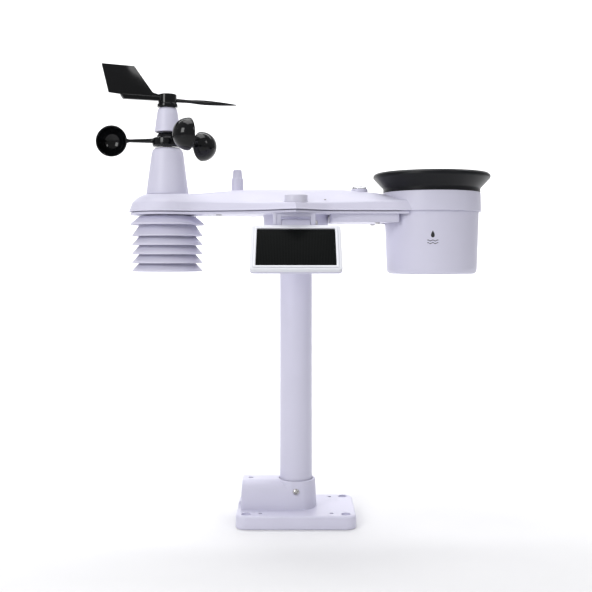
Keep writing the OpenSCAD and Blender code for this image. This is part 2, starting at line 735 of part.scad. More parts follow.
module tipper_frame() {
    base_z = bucket_low + 2.4;
    color([0.9, 0.9, 0.92]) translate([gauge_x, 0, 0]) difference() {
        union() {
            translate([0, 0, base_z]) rounded_plate(24, 50, 2, 4);
            for (y = [-1, 1]) translate([-5, y * 14 - 1.5, base_z]) cube([10, 3, pivot_z - base_z]);
            for (y = [-1, 1]) translate([0, y * 14 + 1.5, pivot_z]) rotate([90, 0, 0]) cylinder(r = 5, h = 3);
            // stops under the two ends of the tipping bucket
            for (x = [-1, 1]) {
                translate([x * 15.5 - 5.5, -3, base_z]) cube([11, 6, 1.6]);
                translate([x * 19 - 1.5, -3, base_z]) cube([3, 6, 12]);
            }
        }
        translate([0, 20, pivot_z]) rotate([90, 0, 0]) cylinder(r = 1.55, h = 40);
    }
}

module reed_board() {
    color(board_green) translate([gauge_x, 0, 0]) {
        translate([-8, 16.6, 216.9]) cube([16, 1.2, 36]);
        translate([-5, 15, 247]) cube([10, 1.8, 2]);
    }
}

// place a shape drawn about the tipper's pivot, tipped to its resting side
module tipped() {
    translate([gauge_x, 0, pivot_z]) rotate([0, -tip_angle, 0]) children();
}

module tipper() {
    floor_line = [[-31, 9], [-27, 6], [0, 2], [27, 6], [31, 9]];
    color(black) tipped() difference() {
        union() {
            // floor of the two chambers
            rotate([90, 0, 0]) translate([0, 0, -10]) linear_extrude(20)
                polygon(concat(floor_line, [[31, 10.4], [27, 7.3], [0, 3.4], [-27, 7.3], [-31, 10.4]]));
            // side walls, and the wall between the chambers
            for (y = [-10, 8.8]) translate([0, y + 1.2, 0]) rotate([90, 0, 0]) linear_extrude(1.2)
                polygon(concat(floor_line, [[26, 16], [4, 22], [-4, 22], [-26, 16]]));
            rotate([90, 0, 0]) translate([0, 0, -10]) linear_extrude(20) polygon([[-1.6, 3], [1.6, 3], [0.6, 23], [-0.6, 23]]);
            // axle boss
            translate([0, 10, 0]) rotate([90, 0, 0]) cylinder(r = 3, h = 20);
        }
        translate([0, 20, 0]) rotate([90, 0, 0]) cylinder(r = 1.5, h = 40);
    }
}

module tipper_axle() {
    color(steel) tipped() translate([0, 16, 0]) rotate([90, 0, 0]) cylinder(r = 1.5, h = 32);
}

module tipper_magnet() {
    color([0.3, 0.3, 0.32]) tipped() translate([-2, 10, 15]) cube([4, 2, 4]);
}

module rain_funnel() {
    color(black) translate([gauge_x, 0, 0]) rotate_extrude() polygon([
        [rim_r - 3.6, rim_z], [rim_r - 2.4, rim_z], [rim_r - 1, rim_z - 0.6], [rim_r - 0.2, rim_z - 1.5],
        [rim_r, rim_z - 2.4], [rim_r, rim_z - 3.4], [rim_r - 0.6, rim_z - 4.6],
        [42.3, 286.5], [41.9, 285.8], [41.9, collar_top + 0.1], [38.8, collar_top + 0.1], [38.8, 275], [37, 275],
        [37, 284.2], [6, 266.6], [5.6, 260.5], [4.2, 260], [4.2, 268], [45.6, 291.6], [rim_r - 4.2, 294.5],
    ]);
}

module funnel_screen() {
    color([0.2, 0.2, 0.22]) translate([gauge_x, 0, 0]) {
        translate([0, 0, 273.4]) difference() {
            cylinder(r = 11, h = 1);
            for (x = [-8:4:8], y = [-8:4:8]) if (norm([x, y]) < 9) translate([x, y, -1]) cylinder(r = 1.2, h = 3, $fn = 24);
        }
        translate([0, 0, 274.3]) cylinder(r1 = 1.6, r2 = 1, h = 5);
    }
}

// ---- solar panel ----

module panel_bracket() {
    color(shell_colour) difference() {
        union() {
            translate([-bracket_half, hinge_y - 4.5, 260.2]) cube([2 * bracket_half, 9, lower_z - 260.2]);
            for (x = [-bracket_half, bracket_gap]) {
                translate([x, hinge_y - 4.5, hinge_z]) cube([bracket_half - bracket_gap, 9, lower_z - hinge_z]);
                translate([x, hinge_y, hinge_z]) rotate([0, 90, 0]) cylinder(r = 4.5, h = bracket_half - bracket_gap);
            }
            // pad that holds the bolt's nut
            translate([-bracket_half - 2.9, hinge_y, hinge_z]) rotate([0, 90, 0]) cylinder(r = 5.2, h = 3);
            translate([-bracket_half - 2.9, hinge_y - 5.2, hinge_z]) cube([3, 10.4, lower_z - hinge_z]);
        }
        translate([-30, hinge_y, hinge_z]) rotate([0, 90, 0]) cylinder(r = 2, h = 60);
        translate([-bracket_half, hinge_y, hinge_z]) rotate([0, -90, 0]) cylinder(r = 4, h = 5, $fn = 6);
    }
}

module panel_bolt() {
    color(steel) translate([bracket_half, hinge_y, hinge_z]) rotate([0, 90, 0])
        pan_screw(3.4, 2.2, 2, 2 * bracket_half + 3);
}

module panel_nut() {
    color(steel) translate([-bracket_half, hinge_y, hinge_z]) rotate([0, -90, 0]) difference() {
        cylinder(r = 3.8, h = 2.6, $fn = 6);
        translate([0, 0, -1]) cylinder(r = 2, h = 5);
    }
}

// place a shape drawn flat, its lit face at z = 0, on the panel's slope
module on_panel() {
    translate(cell_centre) rotate([panel_tilt, 0, 0]) children();
}

module panel_frame() {
    // a shallow tray with a raised border round the cell
    color(shell_colour) on_panel() difference() {
        translate([0, 0, -3.4]) rounded_plate(panel_w, panel_l, 3.4, 3);
        translate([0, 0, -1.6]) rounded_plate(63.4, 40.4, 5, 1);
        translate([0, 0, -5]) rounded_plate(58, 35, 5, 1);
    }
}

module panel_back() {
    // hinge position in the panel's own axes
    dy = hinge_y - cell_centre[1];
    dz = hinge_z - cell_centre[2];
    v = dy * cos(panel_tilt) + dz * sin(panel_tilt);
    w = dz * cos(panel_tilt) - dy * sin(panel_tilt);
    knuckle = bracket_gap - 0.3;
    color(shell_colour) on_panel() difference() {
        union() {
            translate([0, 0, -5.2]) rounded_plate(panel_w, panel_l, 1.7, 3);
            translate([0, 0, -7.2]) rounded_plate(45.8, 38, 2.1, 3);
            translate([-knuckle, 0, 0]) rotate([90, 0, 90]) linear_extrude(2 * knuckle) {
                polygon([[panel_l / 2 - 6, -5], [panel_l / 2 + 0.2, -3.6], [panel_l / 2 + 0.2, -1.4], [v - 1, w + 4.1],
                    [v, w - 4.1], [panel_l / 2 - 8, -7.1]]);
                translate([v, w]) circle(hinge_r);
            }
        }
        translate([-30, v, w]) rotate([0, 90, 0]) cylinder(r = 2.05, h = 60);
    }
}

module solar_cell() {
    color([0.06, 0.07, 0.08]) on_panel() translate([0, 0, -1.5]) rounded_plate(63, 40, 1.2, 0.8);
}

foot();
pole();
pole_screws();
lower_shell();
upper_shell();
shell_gasket();
case_screws();
main_board();
radio_module();
antenna_cover();
antenna_rod();
light_cap();
light_sensor();
level_ring();
level_vial();
batteries();
battery_contacts();
battery_door();
door_seal();
door_screws();
reset_button();
button_spring();
status_lamp();
mast_column();
mast_tube();
speed_board();
cup_bearings();
vane_housing();
vane_board();
vane_bearings();
cup_rotor();
cup_magnets();
wind_vane();
vane_shaft();
vane_magnet();
vane_screw();
shield_plate(1);  // shield_plate_1
shield_plate(2);  // shield_plate_2
shield_plate(3);  // shield_plate_3
shield_plate(4);  // shield_plate_4
shield_plate(5);  // shield_plate_5
shield_plate(6);  // shield_plate_6
shield_screws();
sensor_board();
sensor_cage();
rain_bucket();
drain_grilles();
tipper_frame();
reed_board();
tipper();
tipper_axle();
tipper_magnet();
rain_funnel();
funnel_screen();
panel_bracket();
panel_bolt();
panel_nut();
panel_frame();
panel_back();
solar_cell();
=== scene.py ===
"""Looks of the pole-mounted weather station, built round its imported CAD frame. Metres, +Z up."""

import json
import math

import bmesh
import bpy
from mathutils import Matrix, Vector
from mathutils.bvhtree import BVHTree
from mathutils.geometry import intersect_line_line_2d


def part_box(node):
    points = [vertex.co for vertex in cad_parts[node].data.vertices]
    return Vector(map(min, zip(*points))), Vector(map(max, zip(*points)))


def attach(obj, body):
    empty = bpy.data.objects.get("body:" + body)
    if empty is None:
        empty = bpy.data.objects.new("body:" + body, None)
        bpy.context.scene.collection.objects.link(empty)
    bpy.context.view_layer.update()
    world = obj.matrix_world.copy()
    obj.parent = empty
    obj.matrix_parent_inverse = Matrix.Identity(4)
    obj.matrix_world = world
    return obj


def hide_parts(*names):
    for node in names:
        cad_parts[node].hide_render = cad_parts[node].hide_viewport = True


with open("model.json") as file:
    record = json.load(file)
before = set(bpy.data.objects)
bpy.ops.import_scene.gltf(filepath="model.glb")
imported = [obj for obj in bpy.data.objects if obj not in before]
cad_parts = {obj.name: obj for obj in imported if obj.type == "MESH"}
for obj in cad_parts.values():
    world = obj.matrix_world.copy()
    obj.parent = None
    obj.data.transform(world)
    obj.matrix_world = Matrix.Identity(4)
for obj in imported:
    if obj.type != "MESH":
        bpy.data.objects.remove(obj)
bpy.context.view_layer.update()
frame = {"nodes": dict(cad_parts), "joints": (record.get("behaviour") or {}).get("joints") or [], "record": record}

MM = 0.001


# ---- places taken from the frame ----


def centre(node):
    low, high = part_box(node)
    return (low + high) / 2


mast = centre("mast_column")
gauge = centre("rain_bucket")
joints = {joint["name"]: joint for joint in frame["joints"]}
hinge = Vector(joints["panel_tilt"]["pos_m"])
skirt_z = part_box("upper_shell")[0].z
SOCKET_SCREW_Z = 26.4 * MM
BOSS_SCREW_Z = 247 * MM


# ---- curves and profiles ----


def rounded(corners, steps=6):
    """An open run of points from (a, b, fillet radius) corners, each corner rounded by an arc."""
    points = []
    for i, (a, b, radius) in enumerate(corners):
        here = Vector((a, b))
        if radius <= 0 or i in (0, len(corners) - 1):
            points.append(here)
            continue
        to_last = (Vector(corners[i - 1][:2]) - here).normalized()
        to_next = (Vector(corners[i + 1][:2]) - here).normalized()
        angle = to_last.angle(to_next)
        if angle > math.pi - 0.01:
            points.append(here)
            continue
        reach = radius / math.tan(angle / 2)
        start = here + to_last * reach
        end = here + to_next * reach
        middle = here + (to_last + to_next).normalized() * radius / math.sin(angle / 2)
        swing = (start - middle).angle_signed(end - middle)
        for k in range(steps + 1):
            points.append(middle + Matrix.Rotation(-swing * k / steps, 2) @ (start - middle))
    return points


def closed_round(corners, steps=6):
    """As rounded(), for a closed outline: every corner has its arc."""
    wrapped = [corners[-1]] + list(corners) + [corners[0]]
    points = []
    for i in range(1, len(wrapped) - 1):
        if wrapped[i][2] <= 0:
            points.append(Vector(wrapped[i][:2]))
        else:
            points += rounded(wrapped[i - 1 : i + 2], steps)[1:-1]
    return points


def smooth_run(points, steps):
    """A smooth curve through points, from the second to the last but one."""
    run = []
    for i in range(1, len(points) - 2):
        a, b, c, d = (Vector(p) for p in points[i - 1 : i + 3])
        for k in range(steps):
            t = k / steps
            run.append(
                0.5 * (2 * b + (c - a) * t + (2 * a - 5 * b + 4 * c - d) * t**2 + (3 * b - a - 3 * c + d) * t**3)
            )
    return run


def lookup(x, table):
    """Smooth value at x from (x, value) pairs."""
    if x <= table[0][0]:
        return table[0][1]
    for (x0, v0), (x1, v1) in zip(table, table[1:]):
        if x <= x1:
            t = (x - x0) / (x1 - x0)
            return v0 + (v1 - v0) * t
    return table[-1][1]


def rect_ring(width, length, radius, steps=8):
    """A rounded rectangle about the origin, anticlockwise."""
    points = []
    for k, (sx, sy) in enumerate(((1, 1), (-1, 1), (-1, -1), (1, -1))):
        cx, cy = sx * (width / 2 - radius), sy * (length / 2 - radius)
        for i in range(steps + 1):
            a = math.radians(90 * k + 90 * i / steps)
            points.append(Vector((cx + radius * math.cos(a), cy + radius * math.sin(a))))
    return points


# ---- meshes ----


def finish_mesh(name, bm, sharp=35):
    bmesh.ops.remove_doubles(bm, verts=bm.verts, dist=1e-6)
    bmesh.ops.recalc_face_normals(bm, faces=bm.faces)
    mesh = bpy.data.meshes.new(name)
    bm.to_mesh(mesh)
    bm.free()
    mesh.polygons.foreach_set("use_smooth", [True] * len(mesh.polygons))
    mesh.set_sharp_from_angle(angle=math.radians(sharp))
    obj = bpy.data.objects.new(name, mesh)
    bpy.context.scene.collection.objects.link(obj)
    return obj


def skin(name, rings, close_rings=False, cap=True, sharp=35):
    """A surface over rings of equally many points: the ends are capped, or the last ring joins the first."""
    bm = bmesh.new()
    rows = [[bm.verts.new(p) for p in ring] for ring in rings]
    pairs = list(zip(rows, rows[1:]))
    if close_rings:
        pairs.append((rows[-1], rows[0]))
    for low, high in pairs:
        n = len(low)
        for i in range(n):
            j = (i + 1) % n
            bm.faces.new((low[i], low[j], high[j], high[i]))
    if cap and not close_rings:
        bm.faces.new(rows[0])
        bm.faces.new(rows[-1])
    return finish_mesh(name, bm, sharp)


def lathe(name, profile, middle, steps=96, closed=False, sharp=35):
    """Turns (radius, height) points, in metres, about the vertical axis at middle."""
    bm = bmesh.new()
    columns = []
    for radius, height in profile:
        if radius < 1e-6:
            vert = bm.verts.new((middle.x, middle.y, height))
            columns.append([vert] * steps)
            continue
        column = []
        for k in range(steps):
            a = 2 * math.pi * k / steps
            column.append(bm.verts.new((middle.x + radius * math.cos(a), middle.y + radius * math.sin(a), height)))
        columns.append(column)
    pairs = list(zip(columns, columns[1:]))
    if closed:
        pairs.append((columns[-1], columns[0]))
    for low, high in pairs:
        for k in range(steps):
            j = (k + 1) % steps
            loop = []
            for vert in (low[k], low[j], high[j], high[k]):
                if vert not in loop:
                    loop.append(vert)
            if len(loop) > 2:
                bm.faces.new(loop)
    return finish_mesh(name, bm, sharp)


def turned(name, corners, middle, steps=96, closed=True, arc=5, sharp=35):
    """A lathe from (radius, height, fillet) corners in millimetres."""
    run = closed_round(corners, arc) if closed else rounded(corners, arc)
    return lathe(name, [(p.x * MM, p.y * MM) for p in run], middle, steps, closed, sharp)


def slab(name, outline, thickness, edge, arc=4, sharp=35):
    """A flat piece from z = 0 to thickness over an outline, its edges rounded by edge."""
    n = len(outline)
    normals = []
    for i in range(n):
        along = outline[(i + 1) % n] - outline[i - 1]
        normals.append(Vector((-along.y, along.x)).normalized())
    rings = []
    for k in range(arc + 1):
        a = math.pi / 2 * k / arc
        rings.append((edge * (1 - math.sin(a)), edge * (1 - math.cos(a))))
    rings += [(inset, thickness - z) for inset, z in reversed(rings)]
    return skin(
        name,
        [[Vector((*(p + m * inset), z)) for p, m in zip(outline, normals)] for inset, z in rings],
        sharp=sharp,
    )


def rod(name, stations, sides=24):
    """A rod along +X through (x, half-width, half-height, height of its middle) stations."""
    rings = []
    for x, wide, high, lift in stations:
        ring = []
        for k in range(sides):
            a = 2 * math.pi * k / sides
            ring.append(Vector((x, wide * math.cos(a), lift + high * math.sin(a))))
        rings.append(ring)
    return skin(name, rings)


def place(obj, matrix):
    obj.data.transform(matrix)
    return obj


def apply_modifiers(obj):
    graph = bpy.context.evaluated_depsgraph_get()
    mesh = bpy.data.meshes.new_from_object(obj.evaluated_get(graph))
    obj.modifiers.clear()
    obj.data = mesh
    return obj


def boolean(obj, other, operation, sharp=35):
    """Joins other to obj or cuts it away, and removes other."""
    bpy.context.view_layer.update()
    step = obj.modifiers.new("step", "BOOLEAN")
    step.operation = operation
    step.solver = "MANIFOLD"
    step.object = other
    apply_modifiers(obj)
    bpy.data.objects.remove(other)
    obj.data.polygons.foreach_set("use_smooth", [True] * len(obj.data.polygons))
    obj.data.set_sharp_from_angle(angle=math.radians(sharp))
    return obj


def cut_all(obj, tools, sharp=35):
    for tool in tools:
        boolean(obj, tool, "DIFFERENCE", sharp)


def join(name, pieces):
    """One object from several that touch or stand apart."""
    bm = bmesh.new()
    for piece in pieces:
        bm.from_mesh(piece.data)
        bpy.data.objects.remove(piece)
    mesh = bpy.data.meshes.new(name)
    bm.to_mesh(mesh)
    bm.free()
    mesh.set_sharp_from_angle(angle=math.radians(35))
    obj = bpy.data.objects.new(name, mesh)
    bpy.context.scene.collection.objects.link(obj)
    return obj


def bar(low, high, turn=Matrix.Identity(4)):
    """A cutting block between two corners."""
    bm = bmesh.new()
    bmesh.ops.create_cube(bm, size=1)
    low, high = Vector(low), Vector(high)
    bm.transform(turn @ Matrix.Translation((low + high) / 2) @ Matrix.Diagonal((*(high - low), 1)))
    return finish_mesh("bar", bm)


def drill(middle, radius, low, high, axis="Z", steps=48):
    """A cutting cylinder along an axis, from low to high on it."""
    tool = lathe("drill", [(0, low), (radius, low), (radius, high), (0, high)], Vector((0, 0, 0)), steps)
    turns = {"Z": Matrix.Identity(4), "Y": Matrix.Rotation(math.radians(-90), 4, "X"),
             "X": Matrix.Rotation(math.radians(90), 4, "Y")}
    return place(tool, Matrix.Translation(middle) @ turns[axis])


# ---- materials ----


def noise(tree, scale, detail=2.0, stretch=(1, 1, 1)):
    coordinates = tree.nodes.new("ShaderNodeTexCoord")
    mapping = tree.nodes.new("ShaderNodeMapping")
    mapping.inputs["Scale"].default_value = stretch
    texture = tree.nodes.new("ShaderNodeTexNoise")
    texture.inputs["Scale"].default_value = scale
    texture.inputs["Detail"].default_value = detail
    tree.links.new(coordinates.outputs["Object"], mapping.inputs["Vector"])
    tree.links.new(mapping.outputs["Vector"], texture.inputs["Vector"])
    return texture.outputs["Fac"]


def ramp(tree, value, low, high, first, last):
    node = tree.nodes.new("ShaderNodeValToRGB")
    node.color_ramp.elements[0].position = low
    node.color_ramp.elements[1].position = high
    node.color_ramp.elements[0].color = first
    node.color_ramp.elements[1].color = last
    tree.links.new(value, node.inputs["Fac"])
    return node.outputs["Color"]


def spread(tree, value, low, high):
    node = tree.nodes.new("ShaderNodeMapRange")
    node.inputs["To Min"].default_value = low
    node.inputs["To Max"].default_value = high
    tree.links.new(value, node.inputs["Value"])
    return node.outputs["Result"]


def bump(tree, value, strength, distance):
    node = tree.nodes.new("ShaderNodeBump")
    node.inputs["Strength"].default_value = strength
    node.inputs["Distance"].default_value = distance
    tree.links.new(value, node.inputs["Height"])
    return node.outputs["Normal"]


def surface(name, colour, tint=0.04, rough=(0.4, 0.5), grain=1800, relief=0.15, depth=0.00003, patch=25,
            metal=0.0, stretch=(1, 1, 1), coat=0.0, specular=0.5, see_through=0.0):
    """A material whose colour drifts a little, with its roughness and relief from noise."""
    material = bpy.data.materials.new(name)
    material.use_nodes = True
    tree = material.node_tree
    shader = tree.nodes["Principled BSDF"]
    shader.inputs["Metallic"].default_value = metal
    shader.inputs["Coat Weight"].default_value = coat
    shader.inputs["Coat Roughness"].default_value = 0.08
    shader.inputs["Specular IOR Level"].default_value = specular
    shader.inputs["Transmission Weight"].default_value = see_through
    darker = (*(c * (1 - tint) for c in colour), 1)
    lighter = (*(min(1, c * (1 + tint)) for c in colour), 1)
    tree.links.new(ramp(tree, noise(tree, patch, 3), 0.35, 0.65, darker, lighter), shader.inputs["Base Color"])
    fine = noise(tree, grain, 3, stretch)
    tree.links.new(spread(tree, fine, *rough), shader.inputs["Roughness"])
    tree.links.new(bump(tree, fine, relief, depth), shader.inputs["Normal"])
    return material


def cell_surface():
    """Near-black cell under clear resin, with fine upright fingers."""
    material = surface("solar_glass", (0.004, 0.005, 0.005), 0.3, (0.22, 0.3), 900, 0.03, 0.00002, 60, specular=0.01)
    tree = material.node_tree
    shader = tree.nodes["Principled BSDF"]
    coordinates = tree.nodes.new("ShaderNodeTexCoord")
    wave = tree.nodes.new("ShaderNodeTexWave")
    wave.bands_direction = "X"
    wave.inputs["Scale"].default_value = 260
    wave.inputs["Distortion"].default_value = 0.0
    tree.links.new(coordinates.outputs["Object"], wave.inputs["Vector"])
    fingers = ramp(tree, wave.outputs["Fac"], 0.80, 0.97, (0.0035, 0.004, 0.004, 1), (0.011, 0.0125, 0.0125, 1))
    tree.links.new(fingers, shader.inputs["Base Color"])
    return material


materials = {
    "shell_plastic": surface("shell_plastic", (0.655, 0.645, 0.775), 0.012, (0.34, 0.44), 2600, 0.10, specular=0.4),
    # painted light: a lighter copy of shell_plastic for the solar frame, standing in for the top lamp's light on its
    # upward face
    "shell_plastic_lit": surface("shell_plastic_lit", (0.77, 0.78, 0.83), 0.012, (0.3, 0.4), 2600, 0.10, specular=0.4),
    "stainless_steel": surface("stainless_steel", (0.62, 0.61, 0.60), 0.08, (0.2, 0.36), 900, 0.2, metal=1.0,
                               stretch=(1, 1, 6)),
    "bright_steel": surface("bright_steel", (0.72, 0.72, 0.73), 0.05, (0.1, 0.2), 700, 0.1, metal=1.0),
    "circuit_board": surface("circuit_board", (0.02, 0.10, 0.045), 0.25, (0.25, 0.4), 500, 0.2, patch=220),
    "shield_can": surface("shield_can", (0.62, 0.62, 0.60), 0.1, (0.25, 0.4), 300, 0.2, metal=1.0),
    "brass_rod": surface("brass_rod", (0.62, 0.42, 0.16), 0.1, (0.2, 0.35), 800, 0.2, metal=1.0),
    "white_diffuser": surface("white_diffuser", (0.66, 0.65, 0.76), 0.015, (0.3, 0.42), 2000, 0.08),
    "clear_vial": surface("clear_vial", (0.93, 0.94, 0.96), 0.02, (0.02, 0.06), 300, 0.02, see_through=0.95),
    "battery_wrap": surface("battery_wrap", (0.03, 0.05, 0.12), 0.2, (0.2, 0.3), 400, 0.1, patch=80, coat=0.3),
    "seal_rubber": surface("seal_rubber", (0.02, 0.02, 0.022), 0.2, (0.7, 0.85), 1200, 0.3),
    "black_plastic": surface("black_plastic", (0.014, 0.014, 0.016), 0.2, (0.38, 0.5), 2000, 0.2),
    "lamp_lens": surface("lamp_lens", (0.20, 0.62, 0.27), 0.1, (0.08, 0.16), 400, 0.05, see_through=0.4),
    "black_gloss": surface("black_gloss", (0.003, 0.0033, 0.004), 0.3, (0.07, 0.12), 700, 0.05, specular=0.3),
    "funnel_plastic": surface("funnel_plastic", (0.006, 0.0065, 0.0085), 0.2, (0.3, 0.4), 1500, 0.10, specular=0.22),
    "magnet_nickel": surface("magnet_nickel", (0.5, 0.5, 0.5), 0.08, (0.15, 0.25), 500, 0.1, metal=1.0),
    "solar_glass": cell_surface(),
}


def dress(obj, slot):
    obj.data.materials.clear()
    obj.data.materials.append(materials[slot])


def keep(obj, body, slot, *nodes):
    """obj rides on body, takes the finish of slot, and stands for the CAD nodes named."""
    dress(obj, slot)
    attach(obj, body)
    if nodes:
        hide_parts(*nodes)
    return obj


# every CAD node that stays gets its slot's material
for part in frame["record"]["subparts"]:
    cad_node = frame["nodes"][part["node"]]
    dress(cad_node, part["material_slot"])
    cad_node.data.polygons.foreach_set("use_smooth", [True] * len(cad_node.data.polygons))
    cad_node.data.set_sharp_from_angle(angle=math.radians(32))


# ---- screws ----


def pan_head(name, radius, height, matrix):
    """A pan head with a cross recess, its top towards +Z and its seat at z = 0."""
    head = turned(name, [(0, 0, 0), (radius, 0, 0.15), (radius, height * 0.55, height * 0.45),
                         (radius * 0.45, height, 1.0), (0, height, 0)], Vector((0, 0, 0)), 48, closed=False)
    for turn in (20, 110):
        bm = bmesh.new()
        bmesh.ops.create_cube(bm, size=1)
        for vert in bm.verts:
            taper = 1.0 if vert.co.z > 0 else 0.5
            vert.co = Vector((vert.co.x * radius * 1.35 * taper, vert.co.y * radius * 0.36,
                              height * (1.2 if vert.co.z > 0 else 0.2))) * MM
        bm.transform(Matrix.Rotation(math.radians(turn), 4, "Z"))
        boolean(head, finish_mesh("cross", bm), "DIFFERENCE")
    return place(head, matrix)


# ---- foot and pole ----


def build_foot():
    low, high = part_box("foot")
    width, length = high.x - low.x, high.y - low.y
    plate_t, corner = 11 * MM, 9 * MM
    top = high.z
    half = 15.6 * MM
    top_mm = top / MM
    rings = []
    profile = rounded([(1.2, 0, 0), (0, 0, 0.5), (0, 11, 2.4), (4, 11, 0)], 6)
    for inset, z in profile:
        inset, z = inset * MM, z * MM
        ring = rect_ring(width - 2 * inset, length - 2 * inset, max(corner - inset, 1 * MM), 10)
        rings.append([Vector((p.x, p.y, z)) for p in ring])
    foot = skin("foot_body", rings)
    # side sleeve: rounded shoulders, its end leaning in
    section = rounded([(-half, 5 * MM, 0), (-half, top, 9 * MM), (half, top, 9 * MM), (half, 5 * MM, 0)], 10)
    stations = [(-47.4, 0.6), (-47.25, 0.2), (-46.9, 0), (0, 0)]
    sleeve_rings = []
    for x, inset in stations:
        ring = []
        for p in section:
            lean = 0.046 * max(0, p.y - plate_t) if x < -40 else 0
            y = p.x * (1 - inset * MM / half)
            z = p.y - (inset * MM if p.y > 20 * MM else 0)
            ring.append(Vector((x * MM + lean, y, z)))
        sleeve_rings.append(ring)
    sleeve = skin("sleeve", sleeve_rings)
    socket = turned("socket", [(0, 5, 0), (17.95, 5, 0), (16.75, top_mm, 0.9), (12, top_mm, 0), (0, top_mm, 0)],
                    Vector((0, 0, 0)), 96, closed=False)
    for side in (-1, 1):
        cut = bar((-0.03, 0.016, 0), (0.03, 0.03, 0.05)) if side > 0 else bar((-0.03, -0.03, 0), (0.03, -0.016, 0.05))
        boolean(socket, cut, "DIFFERENCE")
    boolean(sleeve, socket, "UNION")
    boolean(foot, sleeve, "UNION")
    cuts = [
        drill(Vector((0, 0, 0)), 14.05 * MM, 6 * MM, 50 * MM, "Z", 96),
        drill(Vector((0, 0, 0)), 14.65 * MM, top - 5 * MM, 50 * MM, "Z", 96),
        drill(Vector((0, 0, 20 * MM)), 14.05 * MM, -60 * MM, -16 * MM, "X", 96),
        drill(Vector((0, 0, 20 * MM)), 14.6 * MM, -60 * MM, -43.5 * MM, "X", 96),
        drill(Vector((-39 * MM, 0, 0)), 2.25 * MM, 20 * MM, 50 * MM),
    ]
    for sx in (-1, 1):
        for sy in (-1, 1):
            outer = Vector((sx * 42 * MM, sy * 27.5 * MM, 0))
            inner = Vector((sx * 30 * MM, sy * 25.5 * MM, 0))
            cuts.append(drill(outer, 2.25 * MM, -1 * MM, 20 * MM))
            cuts.append(drill(outer, 4.0 * MM, 9.4 * MM, 20 * MM))
            cuts.append(drill(inner, 1.75 * MM, -1 * MM, 20 * MM))
            x, y = sx * 12.5 * MM, sy * 26 * MM
            cuts.append(bar((x - 11.5 * MM, y - 6 * MM, -MM), (x + 11.5 * MM, y + 6 * MM, 7 * MM)))
    for sy in (-1, 1):
        cuts.append(bar((21 * MM, (sy * 9 - 8) * MM, -MM), (43 * MM, (sy * 9 + 8) * MM, 7 * MM)))
    cut_all(foot, cuts, 30)
    keep(foot, "station", "shell_plastic", "foot")


def build_pole():
    low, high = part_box("pole")
    r, wall = (high.x - low.x) / 2 / MM, 2
    pole = turned("pole_tube", [(r - wall, low.z / MM, 0.3), (r, low.z / MM, 0.4), (r, high.z / MM, 0.4),
                                (r - wall, high.z / MM, 0.3)], Vector((0, 0, 0)), 96)
    keep(pole, "station", "shell_plastic", "pole")


def build_pole_screws():
    """One screw through the foot's socket from the front, one through the arm's boss from the back."""
    front = Matrix.Translation((0, -16 * MM, SOCKET_SCREW_Z)) @ Matrix.Rotation(math.radians(90), 4, "X")
    back = Matrix.Translation((0, 22 * MM, BOSS_SCREW_Z)) @ Matrix.Rotation(math.radians(-90), 4, "X")
    heads = [pan_head("front_screw", 2.75, 1.8, front), pan_head("back_screw", 2.75, 1.8, back)]
    shanks = [drill(Vector((0, 0, SOCKET_SCREW_Z)), 1.75 * MM, -16.2 * MM, -9.5 * MM, "Y", 24),
              drill(Vector((0, 0, BOSS_SCREW_Z)), 1.75 * MM, 10 * MM, 22.2 * MM, "Y", 24)]
    keep(join("pole_screw_pair", heads + shanks), "station", "stainless_steel", "pole_screws")


# ---- arm ----

DISC_R, DISC_END = 33.1, 68
ARM_RIGHT = 96.5
FRONT_LEFT = [(-112, -33.1), (-99.6, -30.7), (-84, -28), (-49, -34.5), (-30, -42), (-13, -53), (0, -61.5), (9, -70)]
FRONT_RIGHT = [(-9, -70), (0, -61.5), (12, -52), (22, -44.5), (34, -39.2), (60, -37.3), (ARM_RIGHT, -37), (110, -37)]
BACK = [(110, 37), (ARM_RIGHT, 37), (60, 37.5), (34, 37), (22, 36.6), (0, 35.5), (-13, 34.5), (-30, 33), (-49, 31),
        (-84, 28), (-99.6, 30.7), (-112, 33.1)]
SKIRT_TOP = [(-146, 274.6), (-84, 274.2), (-30, 272.2), (0, 271.5), (30, 272.6), (97, 275)]
CROWN = [(-146, 281), (-84, 281.2), (-64, 283.3), (-44, 284.9), (-20, 285.5), (20, 285.4), (43, 285), (60, 283.2),
         (73, 281.5), (97, 275.6)]
RISE_SHARE = [(-96, 0.36), (-60, 0.6), (0, 0.9), (40, 0.75), (97, 0.6)]
GENTLE = [(-45, 0), (0, 1), (45, 0)]
SKIRT_LEAN = 3.2
CASE_POSTS = ((-72, -17), (-72, 17), (-38, -28), (-38, 24), (24, -33), (24, 27))


def arm_outline(steps=9):
    """The arm seen from above, anticlockwise from the mast's far side, in millimetres."""
    mast_mm = mast.x / MM
    sweep = 180 - DISC_END
    arc = [180 + k * sweep / (4 * steps) for k in range(4 * steps)]
    back_arc = [DISC_END + k * sweep / (4 * steps) for k in range(4 * steps)]
    points = [Vector((mast_mm + DISC_R * math.cos(math.radians(a)), DISC_R * math.sin(math.radians(a)))) for a in arc]
    points += smooth_run(FRONT_LEFT, steps) + smooth_run(FRONT_RIGHT, steps) + [Vector((ARM_RIGHT, -37))]
    points += smooth_run(BACK, steps)
    points += [Vector((mast_mm + DISC_R * math.cos(math.radians(a)), DISC_R * math.sin(math.radians(a))))
               for a in back_arc]
    return points


OUTLINE = arm_outline()


